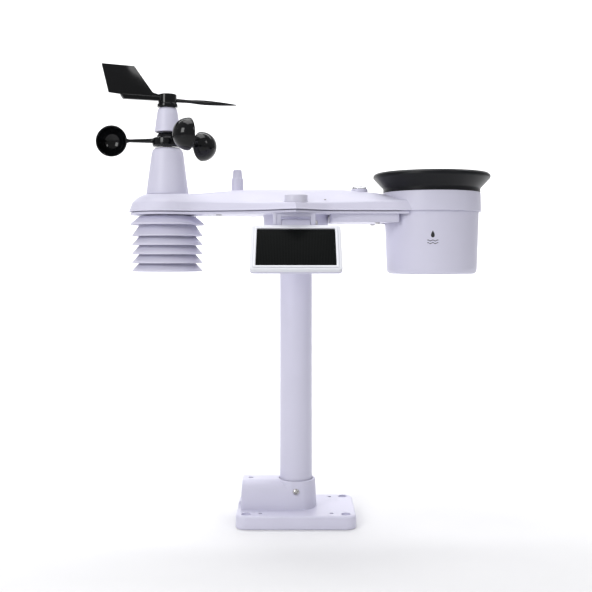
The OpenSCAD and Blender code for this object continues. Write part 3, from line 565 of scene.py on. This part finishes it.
def inset_outline(distance):
    """The outline moved inwards; points that would cross at a sharp corner meet on the crossing."""
    n = len(OUTLINE)
    ring = []
    for i, p in enumerate(OUTLINE):
        into = (p - OUTLINE[i - 1]).normalized()
        out = (OUTLINE[(i + 1) % n] - p).normalized()
        one, two = Vector((-into.y, into.x)), Vector((-out.y, out.x))
        ring.append(p + distance * (one + two) / (1 + one.dot(two)))
    for i in range(n):
        for span in range(2, 10):
            j = (i + span) % n
            hit = intersect_line_line_2d(ring[i], ring[(i + 1) % n], ring[j], ring[(j + 1) % n])
            if hit:
                for k in range(1, span + 1):
                    ring[(i + k) % n] = hit.copy()
    return ring


def smooth_lookup(x, table, spread_mm=14):
    """lookup() averaged over a stretch, so that it has no kinks."""
    weights = [(k, math.cos(math.pi * k / 10) + 1) for k in range(-10, 11)]
    total = sum(w for _, w in weights)
    return sum(w * lookup(x + k / 10 * spread_mm, table) for k, w in weights) / total


def rise(x, share):
    u = min(1.0, share / smooth_lookup(x, RISE_SHARE))
    slow = u * u * (3 - 2 * u)
    quick = u * (3 - u * u) / 2
    gentle = smooth_lookup(x, GENTLE)
    return gentle * slow + (1 - gentle) * quick


def cover_ring(share, depth, base):
    """One ring of the top surface: share is 0 at the skirt's top and 1 on the arm's spine."""
    mast_mm = mast.x / MM
    ring = []
    for p in base:
        spine = Vector((min(max(p.x, mast_mm), ARM_RIGHT), 0))
        q = p.lerp(spine, share)
        low = smooth_lookup(p.x, SKIRT_TOP)
        z = low + (smooth_lookup(q.x, CROWN) - low) * rise(p.x, share) - depth
        ring.append(Vector((q.x, q.y, z)) * MM)
    return ring


def flat_ring(inset, z):
    return [Vector((p.x, p.y, z(p.x) if callable(z) else z)) * MM for p in inset_outline(inset)]


def strip_cap(bm, ring):
    """Closes a long ring with a strip between its front and its back."""
    n = len(ring)
    for i in range(n // 2):
        loop = []
        for vert in (ring[i], ring[i + 1], ring[n - i - 1], ring[(n - i) % n]):
            if vert not in loop:
                loop.append(vert)
        if len(loop) > 2:
            bm.faces.new(loop)


def arm_skin(name, rings, sharp=28):
    """A closed surface over rings that are as long as the arm, both ends closed by strips."""
    bm = bmesh.new()
    rows = [[bm.verts.new(p) for p in ring] for ring in rings]
    for low, high in zip(rows, rows[1:]):
        n = len(low)
        for i in range(n):
            j = (i + 1) % n
            bm.faces.new((low[i], low[j], high[j], high[i]))
    strip_cap(bm, rows[0])
    strip_cap(bm, rows[-1])
    return finish_mesh(name, bm, sharp)


def build_upper_shell():
    skirt_mm = skirt_z / MM
    top = lambda x: smooth_lookup(x, SKIRT_TOP)
    shares = [0.03, 0.06, 0.1, 0.15, 0.2, 0.26, 0.32, 0.38, 0.45, 0.52, 0.6, 0.68, 0.76, 0.84, 0.92]
    base = inset_outline(SKIRT_LEAN)
    outside = [flat_ring(0.5, skirt_mm), flat_ring(0.15, skirt_mm + 0.12), flat_ring(0.06, skirt_mm + 0.5)]
    for k in (0.25, 0.5, 0.75, 0.88):
        outside.append(flat_ring(SKIRT_LEAN * 0.92 * k, lambda x, k=k: skirt_mm + (top(x) - skirt_mm - 0.3) * k))
    outside.append(flat_ring(SKIRT_LEAN * 0.93, lambda x: top(x) - 0.45))
    outside.append(flat_ring(SKIRT_LEAN * 1.06, lambda x: top(x) - 0.12))
    outside += [cover_ring(share, 0, base) for share in shares]
    inner_base = inset_outline(SKIRT_LEAN + 2)
    inside = [flat_ring(2.2, skirt_mm), flat_ring(SKIRT_LEAN + 2, lambda x: top(x) - 2)]
    inside += [cover_ring(share, 2, inner_base) for share in shares]
    shell = arm_skin("arm_top", list(reversed(outside)) + inside)
    collar_cut = drill(Vector((gauge.x, 0, 0)), 41.4 * MM, 250 * MM, 300 * MM, "Z", 128)
    boolean(shell, collar_cut, "DIFFERENCE", 28)
    collar = turned("collar", [
        (39.2, 271.2, 0.3), (40.9, 271.2, 0), (40.9, 265.9, 0.3), (42.6, 265.9, 0.4), (42.1, 282.7, 0.5),
        (39.2, 282.7, 0.3)], Vector((gauge.x, 0, 0)), 128)
    boolean(shell, collar, "UNION", 28)
    for node, radius in (("mast_column", 16.6), ("antenna_cover", 5.6), ("light_cap", 9.7), ("level_ring", 7.3)):
        opening = drill(centre(node).xy.to_3d(), radius * MM, skirt_z + 3 * MM, skirt_z + 30 * MM)
        boolean(shell, opening, "DIFFERENCE", 28)
    bm = bmesh.new()
    bm.from_mesh(shell.data)
    tree = BVHTree.FromBMesh(bm)
    bm.free()
    posts = []
    for x, y in CASE_POSTS:
        ceiling = min(tree.ray_cast(Vector((x + dx, y + dy, 268)) * MM, Vector((0, 0, 1)))[0].z / MM
                      for dx in (-2.6, 2.6) for dy in (-2.6, 2.6))
        posts.append(turned("post", [(1.3, 272, 0), (2.6, 272, 0.2), (2.6, ceiling + 0.8, 0), (1.3, ceiling + 0.8, 0)],
                            Vector((x, y, 0)) * MM, 24))
    keep(join("arm_top_shell", [shell] + posts), "station", "shell_plastic", "upper_shell")


def build_lower_shell():
    floor = arm_skin("floor", [
        flat_ring(2.1, 263.2), flat_ring(1.65, 263.35), flat_ring(1.5, 263.8), flat_ring(1.5, 264.9),
        flat_ring(1.8, 265.2)])
    tray = skin("tray", [flat_ring(4.8, 264), flat_ring(4.8, 267.8), flat_ring(5, 268), flat_ring(6.3, 268),
                         flat_ring(6.5, 267.8), flat_ring(6.5, 264)], close_rings=True)
    boolean(floor, tray, "UNION")
    here = Vector((0, 0, 0))
    boss = turned("boss", [(0, 238, 0), (27.2, 238, 0.9), (28.6, 264.2, 0), (0, 264.2, 0)], here, 96, closed=False)
    # battery box with a slightly bowed front
    bow = [(29, -32.2, 2), (44, -32.9, 30), (58, -33, 30), (72, -32.9, 30), (86.6, -32.2, 2),
           (86.6, 33, 2), (29, 33, 2)]
    box = slab("battery_box", [p * MM for p in closed_round(bow)], 8 * MM, 0.9 * MM)
    place(box, Matrix.Translation((0, 0, 256.2 * MM)))
    wall = turned("gauge_wall", [(42, 264, 0), (44.6, 264, 0), (44.6, 268, 0.2), (42, 268, 0)],
                  Vector((gauge.x, 0, 0)), 96)
    boolean(wall, bar((0.05, -0.035, 0.25), (gauge.x - 21 * MM, 0.035, 0.28)), "INTERSECT")
    for piece in (boss, box, wall):
        boolean(floor, piece, "UNION")
    posts = [turned("post", [(0, 264, 0), (3, 264, 0), (3, 268, 0.2), (0, 268, 0)], Vector((x, y, 0)) * MM, 32,
                    closed=False) for x, y in CASE_POSTS]
    posts += [turned("foot", [(0, 264, 0), (2.2, 264, 0), (2.2, 268, 0.2), (0, 268, 0)], Vector((x, y, 0)) * MM, 32,
                     closed=False) for x in (-60, 14) for y in (-14, 16)]
    boolean(floor, join("posts", posts), "UNION")
    # the boss's hollow skin, with its ribs and the screw's seat left standing
    hollow = turned("hollow", [(16.4, 236, 0), (25.2, 236, 0), (26.2, 259, 1.2), (16.4, 259, 1.2)], here, 96)
    for turn in (0, 60, 120):
        rib = bar((-0.03, -0.0009, 0.2), (0.03, 0.0009, 0.3), Matrix.Rotation(math.radians(turn), 4, "Z"))
        boolean(hollow, rib, "DIFFERENCE")
    boolean(hollow, drill(Vector((0, 0, BOSS_SCREW_Z)), 5 * MM, 0, 30 * MM, "Y"), "DIFFERENCE")
    groove = bar((31.4 * MM, -31 * MM, 257.7 * MM), (66.8 * MM, 28.6 * MM, 258.8 * MM))
    boolean(groove, bar((32.3 * MM, -30.1 * MM, 0.25), (65.9 * MM, 27.7 * MM, 0.27)), "DIFFERENCE")
    cuts = [
        hollow, groove,
        drill(here, 14.05 * MM, 236 * MM, 262 * MM, "Z", 96),
        drill(Vector((0, 0, BOSS_SCREW_Z)), 1.8 * MM, 0, 40 * MM, "Y"),
        drill(Vector((0, 0, BOSS_SCREW_Z)), 3.1 * MM, 22 * MM, 40 * MM, "Y"),
        drill(Vector((0, -36 * MM, 0)), 2.5 * MM, 262 * MM, 272 * MM),
        bar((32.6 * MM, -30 * MM, 255.2 * MM), (65.8 * MM, 27.4 * MM, 275 * MM)),
        bar((30.4 * MM, -31.4 * MM, 255.2 * MM), (71.8 * MM, 31.4 * MM, 257.8 * MM)),
        drill(Vector((gauge.x, 0, 0)), 42.9 * MM, 243 * MM, 273 * MM, "Z", 128),
        bar((88.5 * MM, -50 * MM, 265.4 * MM), (108 * MM, 50 * MM, 275 * MM)),
        drill(Vector((mast.x, 0, 0)), 5 * MM, 262 * MM, 272 * MM),
        drill(Vector((-76, 10, 0)) * MM, 1.6 * MM, 262 * MM, 272 * MM),
        drill(Vector((-66, -14, 0)) * MM, 2.8 * MM, 262 * MM, 272 * MM),
    ]
    for x, y in CASE_POSTS:
        cuts.append(drill(Vector((x, y, 0)) * MM, 1.3 * MM, 262 * MM, 272 * MM, steps=24))
        cuts.append(drill(Vector((x, y, 0)) * MM, 2.6 * MM, 262 * MM, 265.2 * MM, steps=32))
    for turn in (30, 150, 270):
        cuts.append(drill(shield_point(turn), 1.4 * MM, 262 * MM, 272 * MM, steps=24))
    for side in (-1, 1):
        cuts.append(drill(Vector((68.8, side * 24, 0)) * MM, 1.05 * MM, 255.2 * MM, 262.2 * MM, steps=24))
    cut_all(floor, cuts)
    floor.name = "arm_underside"
    keep(floor, "station", "shell_plastic", "lower_shell")


# ---- wind mast ----


def build_mast():
    column = turned("mast_cone", [
        (14.4, 270, 0.3), (16.4, 270, 0.3), (16.4, 281.3, 0), (18.4, 281.3, 0.3), (14.1, 314.2, 25), (13.6, 317.4, 6),
        (12.7, 319.9, 1.6), (11.0, 321.5, 0.8), (10.4, 321.6, 0.2), (4, 321.6, 0.2), (4, 318.6, 0.2),
        (11.2, 318.6, 1), (12, 314, 4), (16, 283.5, 2), (14.4, 281, 0.5)], mast, 128)
    cuts = []
    for turn in (90, 210, 330):
        spot = Matrix.Rotation(math.radians(turn), 4, "Z") @ Vector((8 * MM, 0, 0)) + Vector((mast.x, 0, 0))
        cuts.append(drill(spot, 0.9 * MM, 310 * MM, 320.5 * MM, steps=20))
    cut_all(column, cuts)
    keep(column, "station", "shell_plastic", "mast_column")
    housing = turned("vane_cone", [
        (4, 337.6, 0), (9.4, 337.6, 0.1), (9.9, 335.6, 0), (11.2, 335.6, 0.35), (8.9, 353, 30), (8.3, 355.4, 1.6),
        (7.2, 356.6, 0.5), (5, 356.6, 0.2), (5, 349, 0), (6.2, 349, 0.2), (7.6, 340, 0.5), (6, 340, 0),
        (6, 343.5, 0.2),
        (4, 343.5, 0.2)], mast, 128)
    keep(housing, "station", "shell_plastic", "vane_housing")


def cup_shell():
    """A hollow half-ball with a rolled lip, its mouth towards +Y."""
    r, wall = 13.7, 1.2
    outside = [(r * math.sin(a), -r * math.cos(a)) for a in (math.radians(k * 3) for k in range(29))]
    lip = [(r, -0.7), (r, -0.25), (r - 0.2, 0), (r - 1.0, 0), (r - wall - 0.1, -0.3)]
    back_in = [math.radians(k * 3) for k in range(28, -1, -1)]
    inside = [((r - wall) * math.sin(a), -(r - wall) * math.cos(a)) for a in back_in]
    profile = [(x * MM, z * MM) for x, z in outside + lip + inside]
    shell = lathe("cup", profile, Vector((0, 0, 0)), 72, closed=True, sharp=50)
    return place(shell, Matrix.Rotation(math.radians(-90), 4, "X"))


def build_cups():
    hub = turned("hub", [
        (6.55, 322.6, 0.2), (12, 322.6, 0.3), (13.1, 323.9, 0.4), (13.1, 329.7, 0.5), (12.3, 330.5, 1.0),
        (9.8, 331.0, 1.5), (8.9, 333, 1.5), (7.4, 334.9, 0.7), (6.55, 335, 0.1)], mast, 96)
    arm_z, reach = joints["cups_spin"]["pos_m"][2], 49.3 * MM
    pieces = []
    for k in range(3):
        turn = Matrix.Translation((mast.x, 0, arm_z)) @ Matrix.Rotation(math.radians(179 + 120 * k), 4, "Z")
        arm = rod("arm", [(11.6 * MM, 2.6 * MM, 2.6 * MM, 0), (12.6 * MM, 2.3 * MM, 2.3 * MM, 0),
                          (14 * MM, 2.1 * MM, 2.1 * MM, 0), (33.2 * MM, 1.45 * MM, 1.45 * MM, 0),
                          (35 * MM, 1.9 * MM, 1.9 * MM, 0), (36.1 * MM, 2.5 * MM, 2.5 * MM, 0)])
        pieces += [place(arm, turn), place(cup_shell(), turn @ Matrix.Translation((reach, 0, 0)))]
    rotor = join("cup_wheel", [hub] + pieces)
    magnets = [drill(Vector((mast.x + 9.4 * MM * math.cos(a), 9.4 * MM * math.sin(a), 0)), 1.55 * MM, 322 * MM,
                     324.8 * MM, steps=24) for a in (math.radians(40), math.radians(220))]
    cut_all(rotor, magnets, sharp=45)
    keep(rotor, "cups", "black_gloss", "cup_rotor")


def build_vane():
    turn = Matrix.Translation((mast.x, 0, 0)) @ Matrix.Rotation(math.radians(205), 4, "Z")
    upright = Matrix.Rotation(math.radians(90), 4, "X")
    hub = turned("hub", [
        (2, 357.2, 0), (8.9, 357.2, 0.3), (8.9, 359.9, 0.5), (8.05, 360.4, 0.3), (8.0, 361.4, 0.3), (8.0, 368.6, 0.9),
        (0, 368.6, 0), (0, 367, 0), (2, 367, 0)], Vector((0, 0, 0)), 96)
    boom = closed_round([(6, 362.4, 0.2), (38.8, 361.9, 0.8), (41.7, 365.95, 0.4), (6, 366.4, 0.2)])
    fin = closed_round([(6.5, 366, 0.2), (39, 365.6, 2), (51.6, 366.5, 0.8), (57.6, 390.78, 0.5), (29.5, 390.78, 0.9),
                        (13.2, 369.4, 3), (6.5, 367.9, 0.2)])
    plates = []
    for name, outline, thick, edge in (("boom", boom, 5, 0.6), ("fin", fin, 1.6, 0.45)):
        plate = slab(name, [p * MM for p in outline], thick * MM, edge * MM)
        plates.append(place(plate, upright @ Matrix.Translation((0, 0, -thick / 2 * MM))))
    # a shallow channel down each side of the boom
    boolean(plates[0], bar((9 * MM, -3 * MM, 363.6 * MM), (38.6 * MM, -1.7 * MM, 365.3 * MM)), "DIFFERENCE")
    boolean(plates[0], bar((9 * MM, 1.7 * MM, 363.6 * MM), (38.6 * MM, 3 * MM, 365.3 * MM)), "DIFFERENCE")
    nose = [(-6.5, 1.8, 1.8), (-19, 1.6, 1.5), (-22, 1.5, 1.6), (-27, 1.45, 1.95), (-34, 1.4, 2.2), (-42, 1.3, 2.0),
            (-52, 1.1, 1.5), (-60, 0.8, 0.9), (-64, 0.45, 0.45), (-64.5, 0.15, 0.15)]
    stem = rod("stem", [(x * MM, wide * MM, high * MM, 363.85 * MM) for x, wide, high in nose], 32)
    for piece in plates + [stem]:
        boolean(hub, piece, "UNION")
    boolean(hub, drill(Vector((0, 0, 359.6 * MM)), 1.3 * MM, -12 * MM, -1 * MM, "Y", 24), "DIFFERENCE")
    hub.name = "vane_body"
    keep(place(hub, turn), "vane", "black_gloss", "wind_vane")


# ---- radiation shield ----


def shield_point(turn):
    return Matrix.Rotation(math.radians(turn), 4, "Z") @ Vector((19.5 * MM, 0, 0)) + Vector((mast.x, 0, 0))


def build_shield():
    lows = [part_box(f"shield_plate_{k}")[0].z / MM for k in range(1, 7)]
    rises = (7.7, 10, 8.1, 8.1, 7.9, 7.5)
    for k, low in enumerate(lows):
        r, top = (32.1 if k == 0 else 30.4), low + rises[k]
        above = 263.2 if k == 0 else lows[k - 1] + rises[k - 1] - 1.4
        bore = 0 if k == 5 else 14
        edge = 0 if k == 5 else 0.3
        plate = turned("louvre", [
            (bore, top, edge), (24, top, 1.5), (r, low + 0.9, 0.4), (r, low, 0.35), (r - 1.2, low, 0.2),
            (23.2, top - 1.4, 1.0), (bore, top - 1.4, edge)], mast, 128)
        holes = [drill(shield_point(turn), 1.5 * MM, (top - 3) * MM, (top + 2) * MM, steps=24)
                 for turn in (30, 150, 270)]
        cut_all(plate, holes)
        posts = [turned("post", [(1.5, top - 0.2, 0), (2.8, top - 0.2, 0), (2.8, above, 0.15), (1.5, above, 0.15)],
                        shield_point(turn), 32) for turn in (30, 150, 270)]
        keep(join(f"louvre_{k + 1}", [plate] + posts), "station", "shell_plastic", f"shield_plate_{k + 1}")


# ---- rain gauge ----


def build_gauge():
    at = Vector((gauge.x, 0, 0))
    bucket = turned("gauge_bucket", [
        (0, 212.5, 0), (36.4, 212.5, 1.2), (38.4, 213.9, 1.8), (38.9, 217, 3), (40.5, 264, 60), (40.5, 271, 0.3),
        (38.5, 271, 0.3), (38.5, 264, 0), (36.9, 217, 1.5), (36, 214.9, 0.8), (0, 214.9, 0)], at, 160)
    cut_all(bucket, [drill(at + Vector((side * 22 * MM, 0, 0)), 7 * MM, 211 * MM, 216 * MM) for side in (-1, 1)])
    keep(bucket, "station", "shell_plastic", "rain_bucket")
    funnel = turned("gauge_funnel", [
        (46.9, 299.3, 0.5), (48.6, 299.3, 1.2), (50.5, 297.6, 1.6), (50.5, 295.6, 0.8), (49.9, 294.7, 0.4),
        (42.35, 286.6, 0.6), (41.9, 285.8, 0.3), (41.9, 282.8, 0.2), (38.8, 282.8, 0.1), (38.8, 275, 0.3),
        (37, 275, 0.3), (37, 284.2, 0.6), (6, 266.6, 1), (5.6, 260.5, 0.3), (4.2, 260, 0.2), (4.2, 268, 1),
        (45.6, 291.6, 2), (46.3, 294.5, 1)], at, 160)
    keep(funnel, "funnel", "funnel_plastic", "rain_funnel")


def build_drop_mark():
    """A plain raindrop above two ripples, printed on the gauge's front."""
    drop = [Vector((2.1 * math.sin(a) * math.sin(a / 2) ** 1.2, 2.9 * math.cos(a)))
            for a in (2 * math.pi * k / 48 for k in range(48))]
    ripple = [Vector((x / 4, 0.4 * math.cos(x / 4 * 1.57) + side * 0.3)) for side, run in
              ((-1, range(-18, 19)), (1, range(18, -19, -1))) for x in run]
    bm = bmesh.new()
    for shape, up in ((drop, 3.2), (ripple, -2.2), (ripple, -4.4)):
        rows = []
        for lift in (0.0, 0.03):
            row = []
            for p in shape:
                z = 243 + p.y + up
                r = 38.9 + (z - 217) / 47 * 1.6 + lift
                a = math.radians(-97) + p.x / r
                row.append(bm.verts.new((gauge.x + r * math.cos(a) * MM, r * math.sin(a) * MM, z * MM)))
            rows.append(row)
        n = len(shape)
        for i in range(n):
            j = (i + 1) % n
            bm.faces.new((rows[0][i], rows[0][j], rows[1][j], rows[1][i]))
        bm.faces.new(rows[0])
        bm.faces.new(rows[1])
    bmesh.ops.triangulate(bm, faces=[f for f in bm.faces if len(f.verts) > 4])
    keep(finish_mesh("drop_mark", bm), "station", "black_plastic")


# ---- solar panel ----


def build_panel():
    slope = Matrix.Translation(Vector((0, -69.4, 235.8)) * MM) @ Matrix.Rotation(math.radians(45), 4, "X")
    stations = [
        (0.5, -3.4), (0.15, -3.25), (0, -2.9), (0, -1.1), (0.2, -0.75), (0.6, -0.5), (2.1, -0.45), (2.2, -0.85),
        (2.5, -0.85), (2.55, -0.15), (2.8, 0), (4.2, 0), (4.5, -0.15), (4.55, -1.6), (7.25, -1.6), (7.25, -3.4)]
    rings = []
    for inset, z in stations:
        ring = rect_ring(72.5 - 2 * inset, 51 - 2 * inset, max(3.2 - inset, 0.8))
        rings.append([Vector((p.x, p.y, z)) * MM for p in ring])
    rim = place(skin("panel_rim", rings, close_rings=True), slope)
    keep(rim, "panel", "shell_plastic", "panel_frame")
    # painted light: the frame takes the lighter copy of shell_plastic, for the light on its upward face
    dress(rim, "shell_plastic_lit")
    # back plate, its box and its hinge barrel
    plate = slab("plate", [p * MM for p in rect_ring(72.5, 51, 3.2)], 1.7 * MM, 0.35 * MM)
    place(plate, Matrix.Translation((0, 0, -5.2 * MM)))
    box = slab("box", [p * MM for p in rect_ring(45.8, 38, 3)], 2.6 * MM, 0.6 * MM)
    place(box, Matrix.Translation((0, 0, -7.2 * MM)))
    across = slope.inverted() @ hinge
    v, w = across.y / MM, across.z / MM
    barrel = [Vector((v + 4.2 * math.cos(a), w + 4.2 * math.sin(a))) for a in
              (math.radians(k) for k in range(-98, 96, 8))]
    outline = [Vector((17.5, -7.0))] + barrel + [Vector((25.7, -1.6)), Vector((25.7, -3.6)), Vector((19.5, -4.6))]
    knuckle = slab("knuckle", [p * MM for p in outline], 23.6 * MM, 0.5 * MM)
    lie = Matrix(((0, 0, 1, -11.8 * MM), (1, 0, 0, 0), (0, 1, 0, 0), (0, 0, 0, 1)))
    place(knuckle, lie)
    for piece in (box, knuckle):
        boolean(plate, piece, "UNION")
    boolean(plate, drill(Vector((0, v, w)) * MM, 2.05 * MM, -0.03, 0.03, "X"), "DIFFERENCE")
    plate.name = "panel_rear"
    keep(place(plate, slope), "panel", "shell_plastic", "panel_back")
    cell = slab("cell_plate", [p * MM for p in rect_ring(63, 40, 0.8)], 1.2 * MM, 0.15 * MM)
    place(cell, slope @ Matrix.Translation((0, 0, -1.5 * MM)))
    keep(cell, "panel", "solar_glass", "solar_cell")


def build_bracket():
    y, z = hinge.y / MM, hinge.z / MM
    legs = []
    for low, high in ((-16, -12.1), (12.1, 16)):
        lower_half = [math.radians(k) for k in range(180, 361, 10)]
        swing = [Vector((4.5 * math.cos(a), 4.5 * math.sin(a))) for a in lower_half]
        outline = swing + [Vector((4.5, 263.2 - z)), Vector((-4.5, 263.2 - z))]
        leg = slab("leg", [p * MM for p in outline], (high - low) * MM, 0.45 * MM)
        lie = Matrix(((0, 0, 1, low * MM), (1, 0, 0, hinge.y), (0, 1, 0, hinge.z), (0, 0, 0, 1)))
        legs.append(place(leg, lie))
    top = slab("top", [p * MM for p in rect_ring(31.4, 9, 0.8)], 3 * MM, 0.4 * MM)
    place(top, Matrix.Translation(Vector((0, y, 260.2)) * MM))
    for leg in legs:
        boolean(top, leg, "UNION")
    swing = [Vector((5.2 * math.cos(a), 5.2 * math.sin(a))) for a in (math.radians(k) for k in range(180, 361, 10))]
    outline = swing + [Vector((5.2, 263.2 - z)), Vector((-5.2, 263.2 - z))]
    pad = slab("pad", [p * MM for p in outline], 3.1 * MM, 0.45 * MM)
    place(pad, Matrix(((0, 0, 1, -18.9 * MM), (1, 0, 0, hinge.y), (0, 1, 0, hinge.z), (0, 0, 0, 1))))
    boolean(top, pad, "UNION")
    boolean(top, drill(hinge, 2 * MM, -0.03, 0.03, "X"), "DIFFERENCE")
    boolean(top, drill(hinge, 4 * MM, -0.025, -0.016, "X", 6), "DIFFERENCE")
    top.name = "bracket"
    keep(top, "station", "shell_plastic", "panel_bracket")
    head = pan_head("bolt_head", 3.4, 2.2, Matrix.Translation((16 * MM, hinge.y, hinge.z))
                    @ Matrix.Rotation(math.radians(90), 4, "Y"))
    shank = drill(hinge, 1.95 * MM, -18.9 * MM, 16.2 * MM, "X")
    keep(join("hinge_bolt", [head, shank]), "station", "stainless_steel", "panel_bolt")


# ---- small parts on top of the arm ----


def build_top_parts():
    antenna = centre("antenna_cover")
    cover = turned("antenna_tip", [
        (2.9, 279.6, 0), (6.6, 279.6, 0), (6.6, 280.6, 0.2), (5.5, 280.6, 0), (5.45, 284, 0), (5.0, 295.4, 0.35),
        (4.35, 295.9, 0.3), (3.75, 302.4, 0.5), (3.3, 303.2, 0.5), (0, 303.2, 0), (0, 301.6, 0), (2.9, 301.6, 0)],
        antenna, 64)
    keep(cover, "station", "shell_plastic", "antenna_cover")
    cap = turned("light_dome", [
        (7.8, 269.4, 0.1), (9.5, 269.4, 0.1), (9.5, 277.9, 0.9), (8.0, 278.45, 2), (0, 278.7, 0), (0, 277, 0),
        (7.8, 276.8, 0.4)], centre("light_cap"), 96)
    keep(cap, "station", "white_diffuser", "light_cap")
    level = centre("level_ring")
    ring = turned("bubble_ring", [
        (6.2, 278.2, 0), (8, 278.2, 0.1), (8, 279.2, 0.1), (7.1, 279.2, 0), (7.1, 285.1, 0.4), (6.7, 285.4, 0.2),
        (6.2, 285.4, 0.1)], level, 72)
    keep(ring, "station", "shell_plastic", "level_ring")
    vial = turned("bubble_vial", [
        (0, 279, 0), (6.1, 279, 0.1), (6.1, 287.0, 0.7), (5.4, 287.4, 0.3), (0, 287.4, 0), (0, 286, 0),
        (4.9, 286, 0.6),
        (4.9, 280.4, 0.3), (0, 280.4, 0)], level, 72)
    keep(vial, "station", "clear_vial", "level_vial")
    fluid = turned("vial_fluid", [
        (0, 280.5, 0), (4.8, 280.5, 0.2), (4.8, 285.6, 0.3), (1.8, 285.8, 0.2), (1.6, 285.2, 0.6), (0, 284.9, 0)],
        level, 64, closed=False)
    keep(fluid, "station", "clear_vial")


def soften_kept_nodes():
    """Edges of the parts that stay from the CAD frame are softened."""
    stay = [part["node"] for part in frame["record"]["subparts"] if not frame["nodes"][part["node"]].hide_render]
    for node in stay:
        edge = frame["nodes"][node].modifiers.new("edge", "BEVEL")
        edge.width = 0.12 * MM
        edge.segments = 2
        edge.limit_method = "ANGLE"
        edge.angle_limit = math.radians(50)


build_foot()
build_pole()
build_pole_screws()
build_upper_shell()
build_lower_shell()
build_mast()
build_cups()
build_vane()
build_shield()
build_gauge()
build_drop_mark()
build_panel()
build_bracket()
build_top_parts()
soften_kept_nodes()


# ---- stage, light and camera ----


def build_stage():
    """A pale sweep: a floor that curves up into a backdrop."""
    sweep = rounded([(-3, 0, 0), (2.5, 0, 1.2), (2.5, 4, 0)], 24)
    bm = bmesh.new()
    rows = [[bm.verts.new((x, p.x, p.y - 0.0003)) for x in (-4, 4)] for p in sweep]
    for low, high in zip(rows, rows[1:]):
        bm.faces.new((low[0], low[1], high[1], high[0]))
    floor = finish_mesh("floor", bm, 60)
    paper = surface("paper", (0.86, 0.86, 0.87), 0.004, (0.8, 0.9), 200, 0.05, specular=0.2)
    floor.data.materials.append(paper)


def area_light(name, place_at, aim, size, power):
    data = bpy.data.lights.new(name, "AREA")
    data.shape = "RECTANGLE"
    data.size, data.size_y = size
    data.energy = power
    light = bpy.data.objects.new(name, data)
    light.location = place_at
    light.rotation_euler = (Vector(aim) - Vector(place_at)).to_track_quat("-Z", "Y").to_euler()
    bpy.context.scene.collection.objects.link(light)


def build_light():
    """An even pale room with soft lamps above and to each side, and one that whitens the backdrop."""
    world = bpy.data.worlds.new("studio")
    world.use_nodes = True
    world.node_tree.nodes["Background"].inputs["Color"].default_value = (1, 1, 1, 1)
    world.node_tree.nodes["Background"].inputs["Strength"].default_value = 0.4
    bpy.context.scene.world = world
    area_light("top_light", (-0.15, -0.1, 1.5), (0, 0, 0.28), (0.9, 0.7), 7)
    area_light("left_light", (-0.9, -1.1, 0.8), (0, 0, 0.25), (0.5, 0.7), 8)
    area_light("right_light", (0.9, -1.0, 1.15), (0, 0, 0.25), (0.25, 0.5), 2.2)
    area_light("back_light", (0, 0.7, 1.7), (0, 2.2, 0.6), (2.5, 0.8), 60)


def build_camera():
    """Level, in front of the arm's middle; the shift lowers the frame without tilting the pole."""
    data = bpy.data.cameras.new("camera")
    data.lens = 53.5
    data.sensor_width = 36
    data.shift_y = -0.071
    data.clip_start = 0.01
    camera = bpy.data.objects.new("camera", data)
    camera.location = (0, -0.767, 0.2296)
    camera.rotation_euler = (math.radians(90), 0, 0)
    bpy.context.scene.collection.objects.link(camera)
    bpy.context.scene.camera = camera


build_stage()
build_light()
build_camera()
bpy.context.scene.view_settings.view_transform = "Standard"
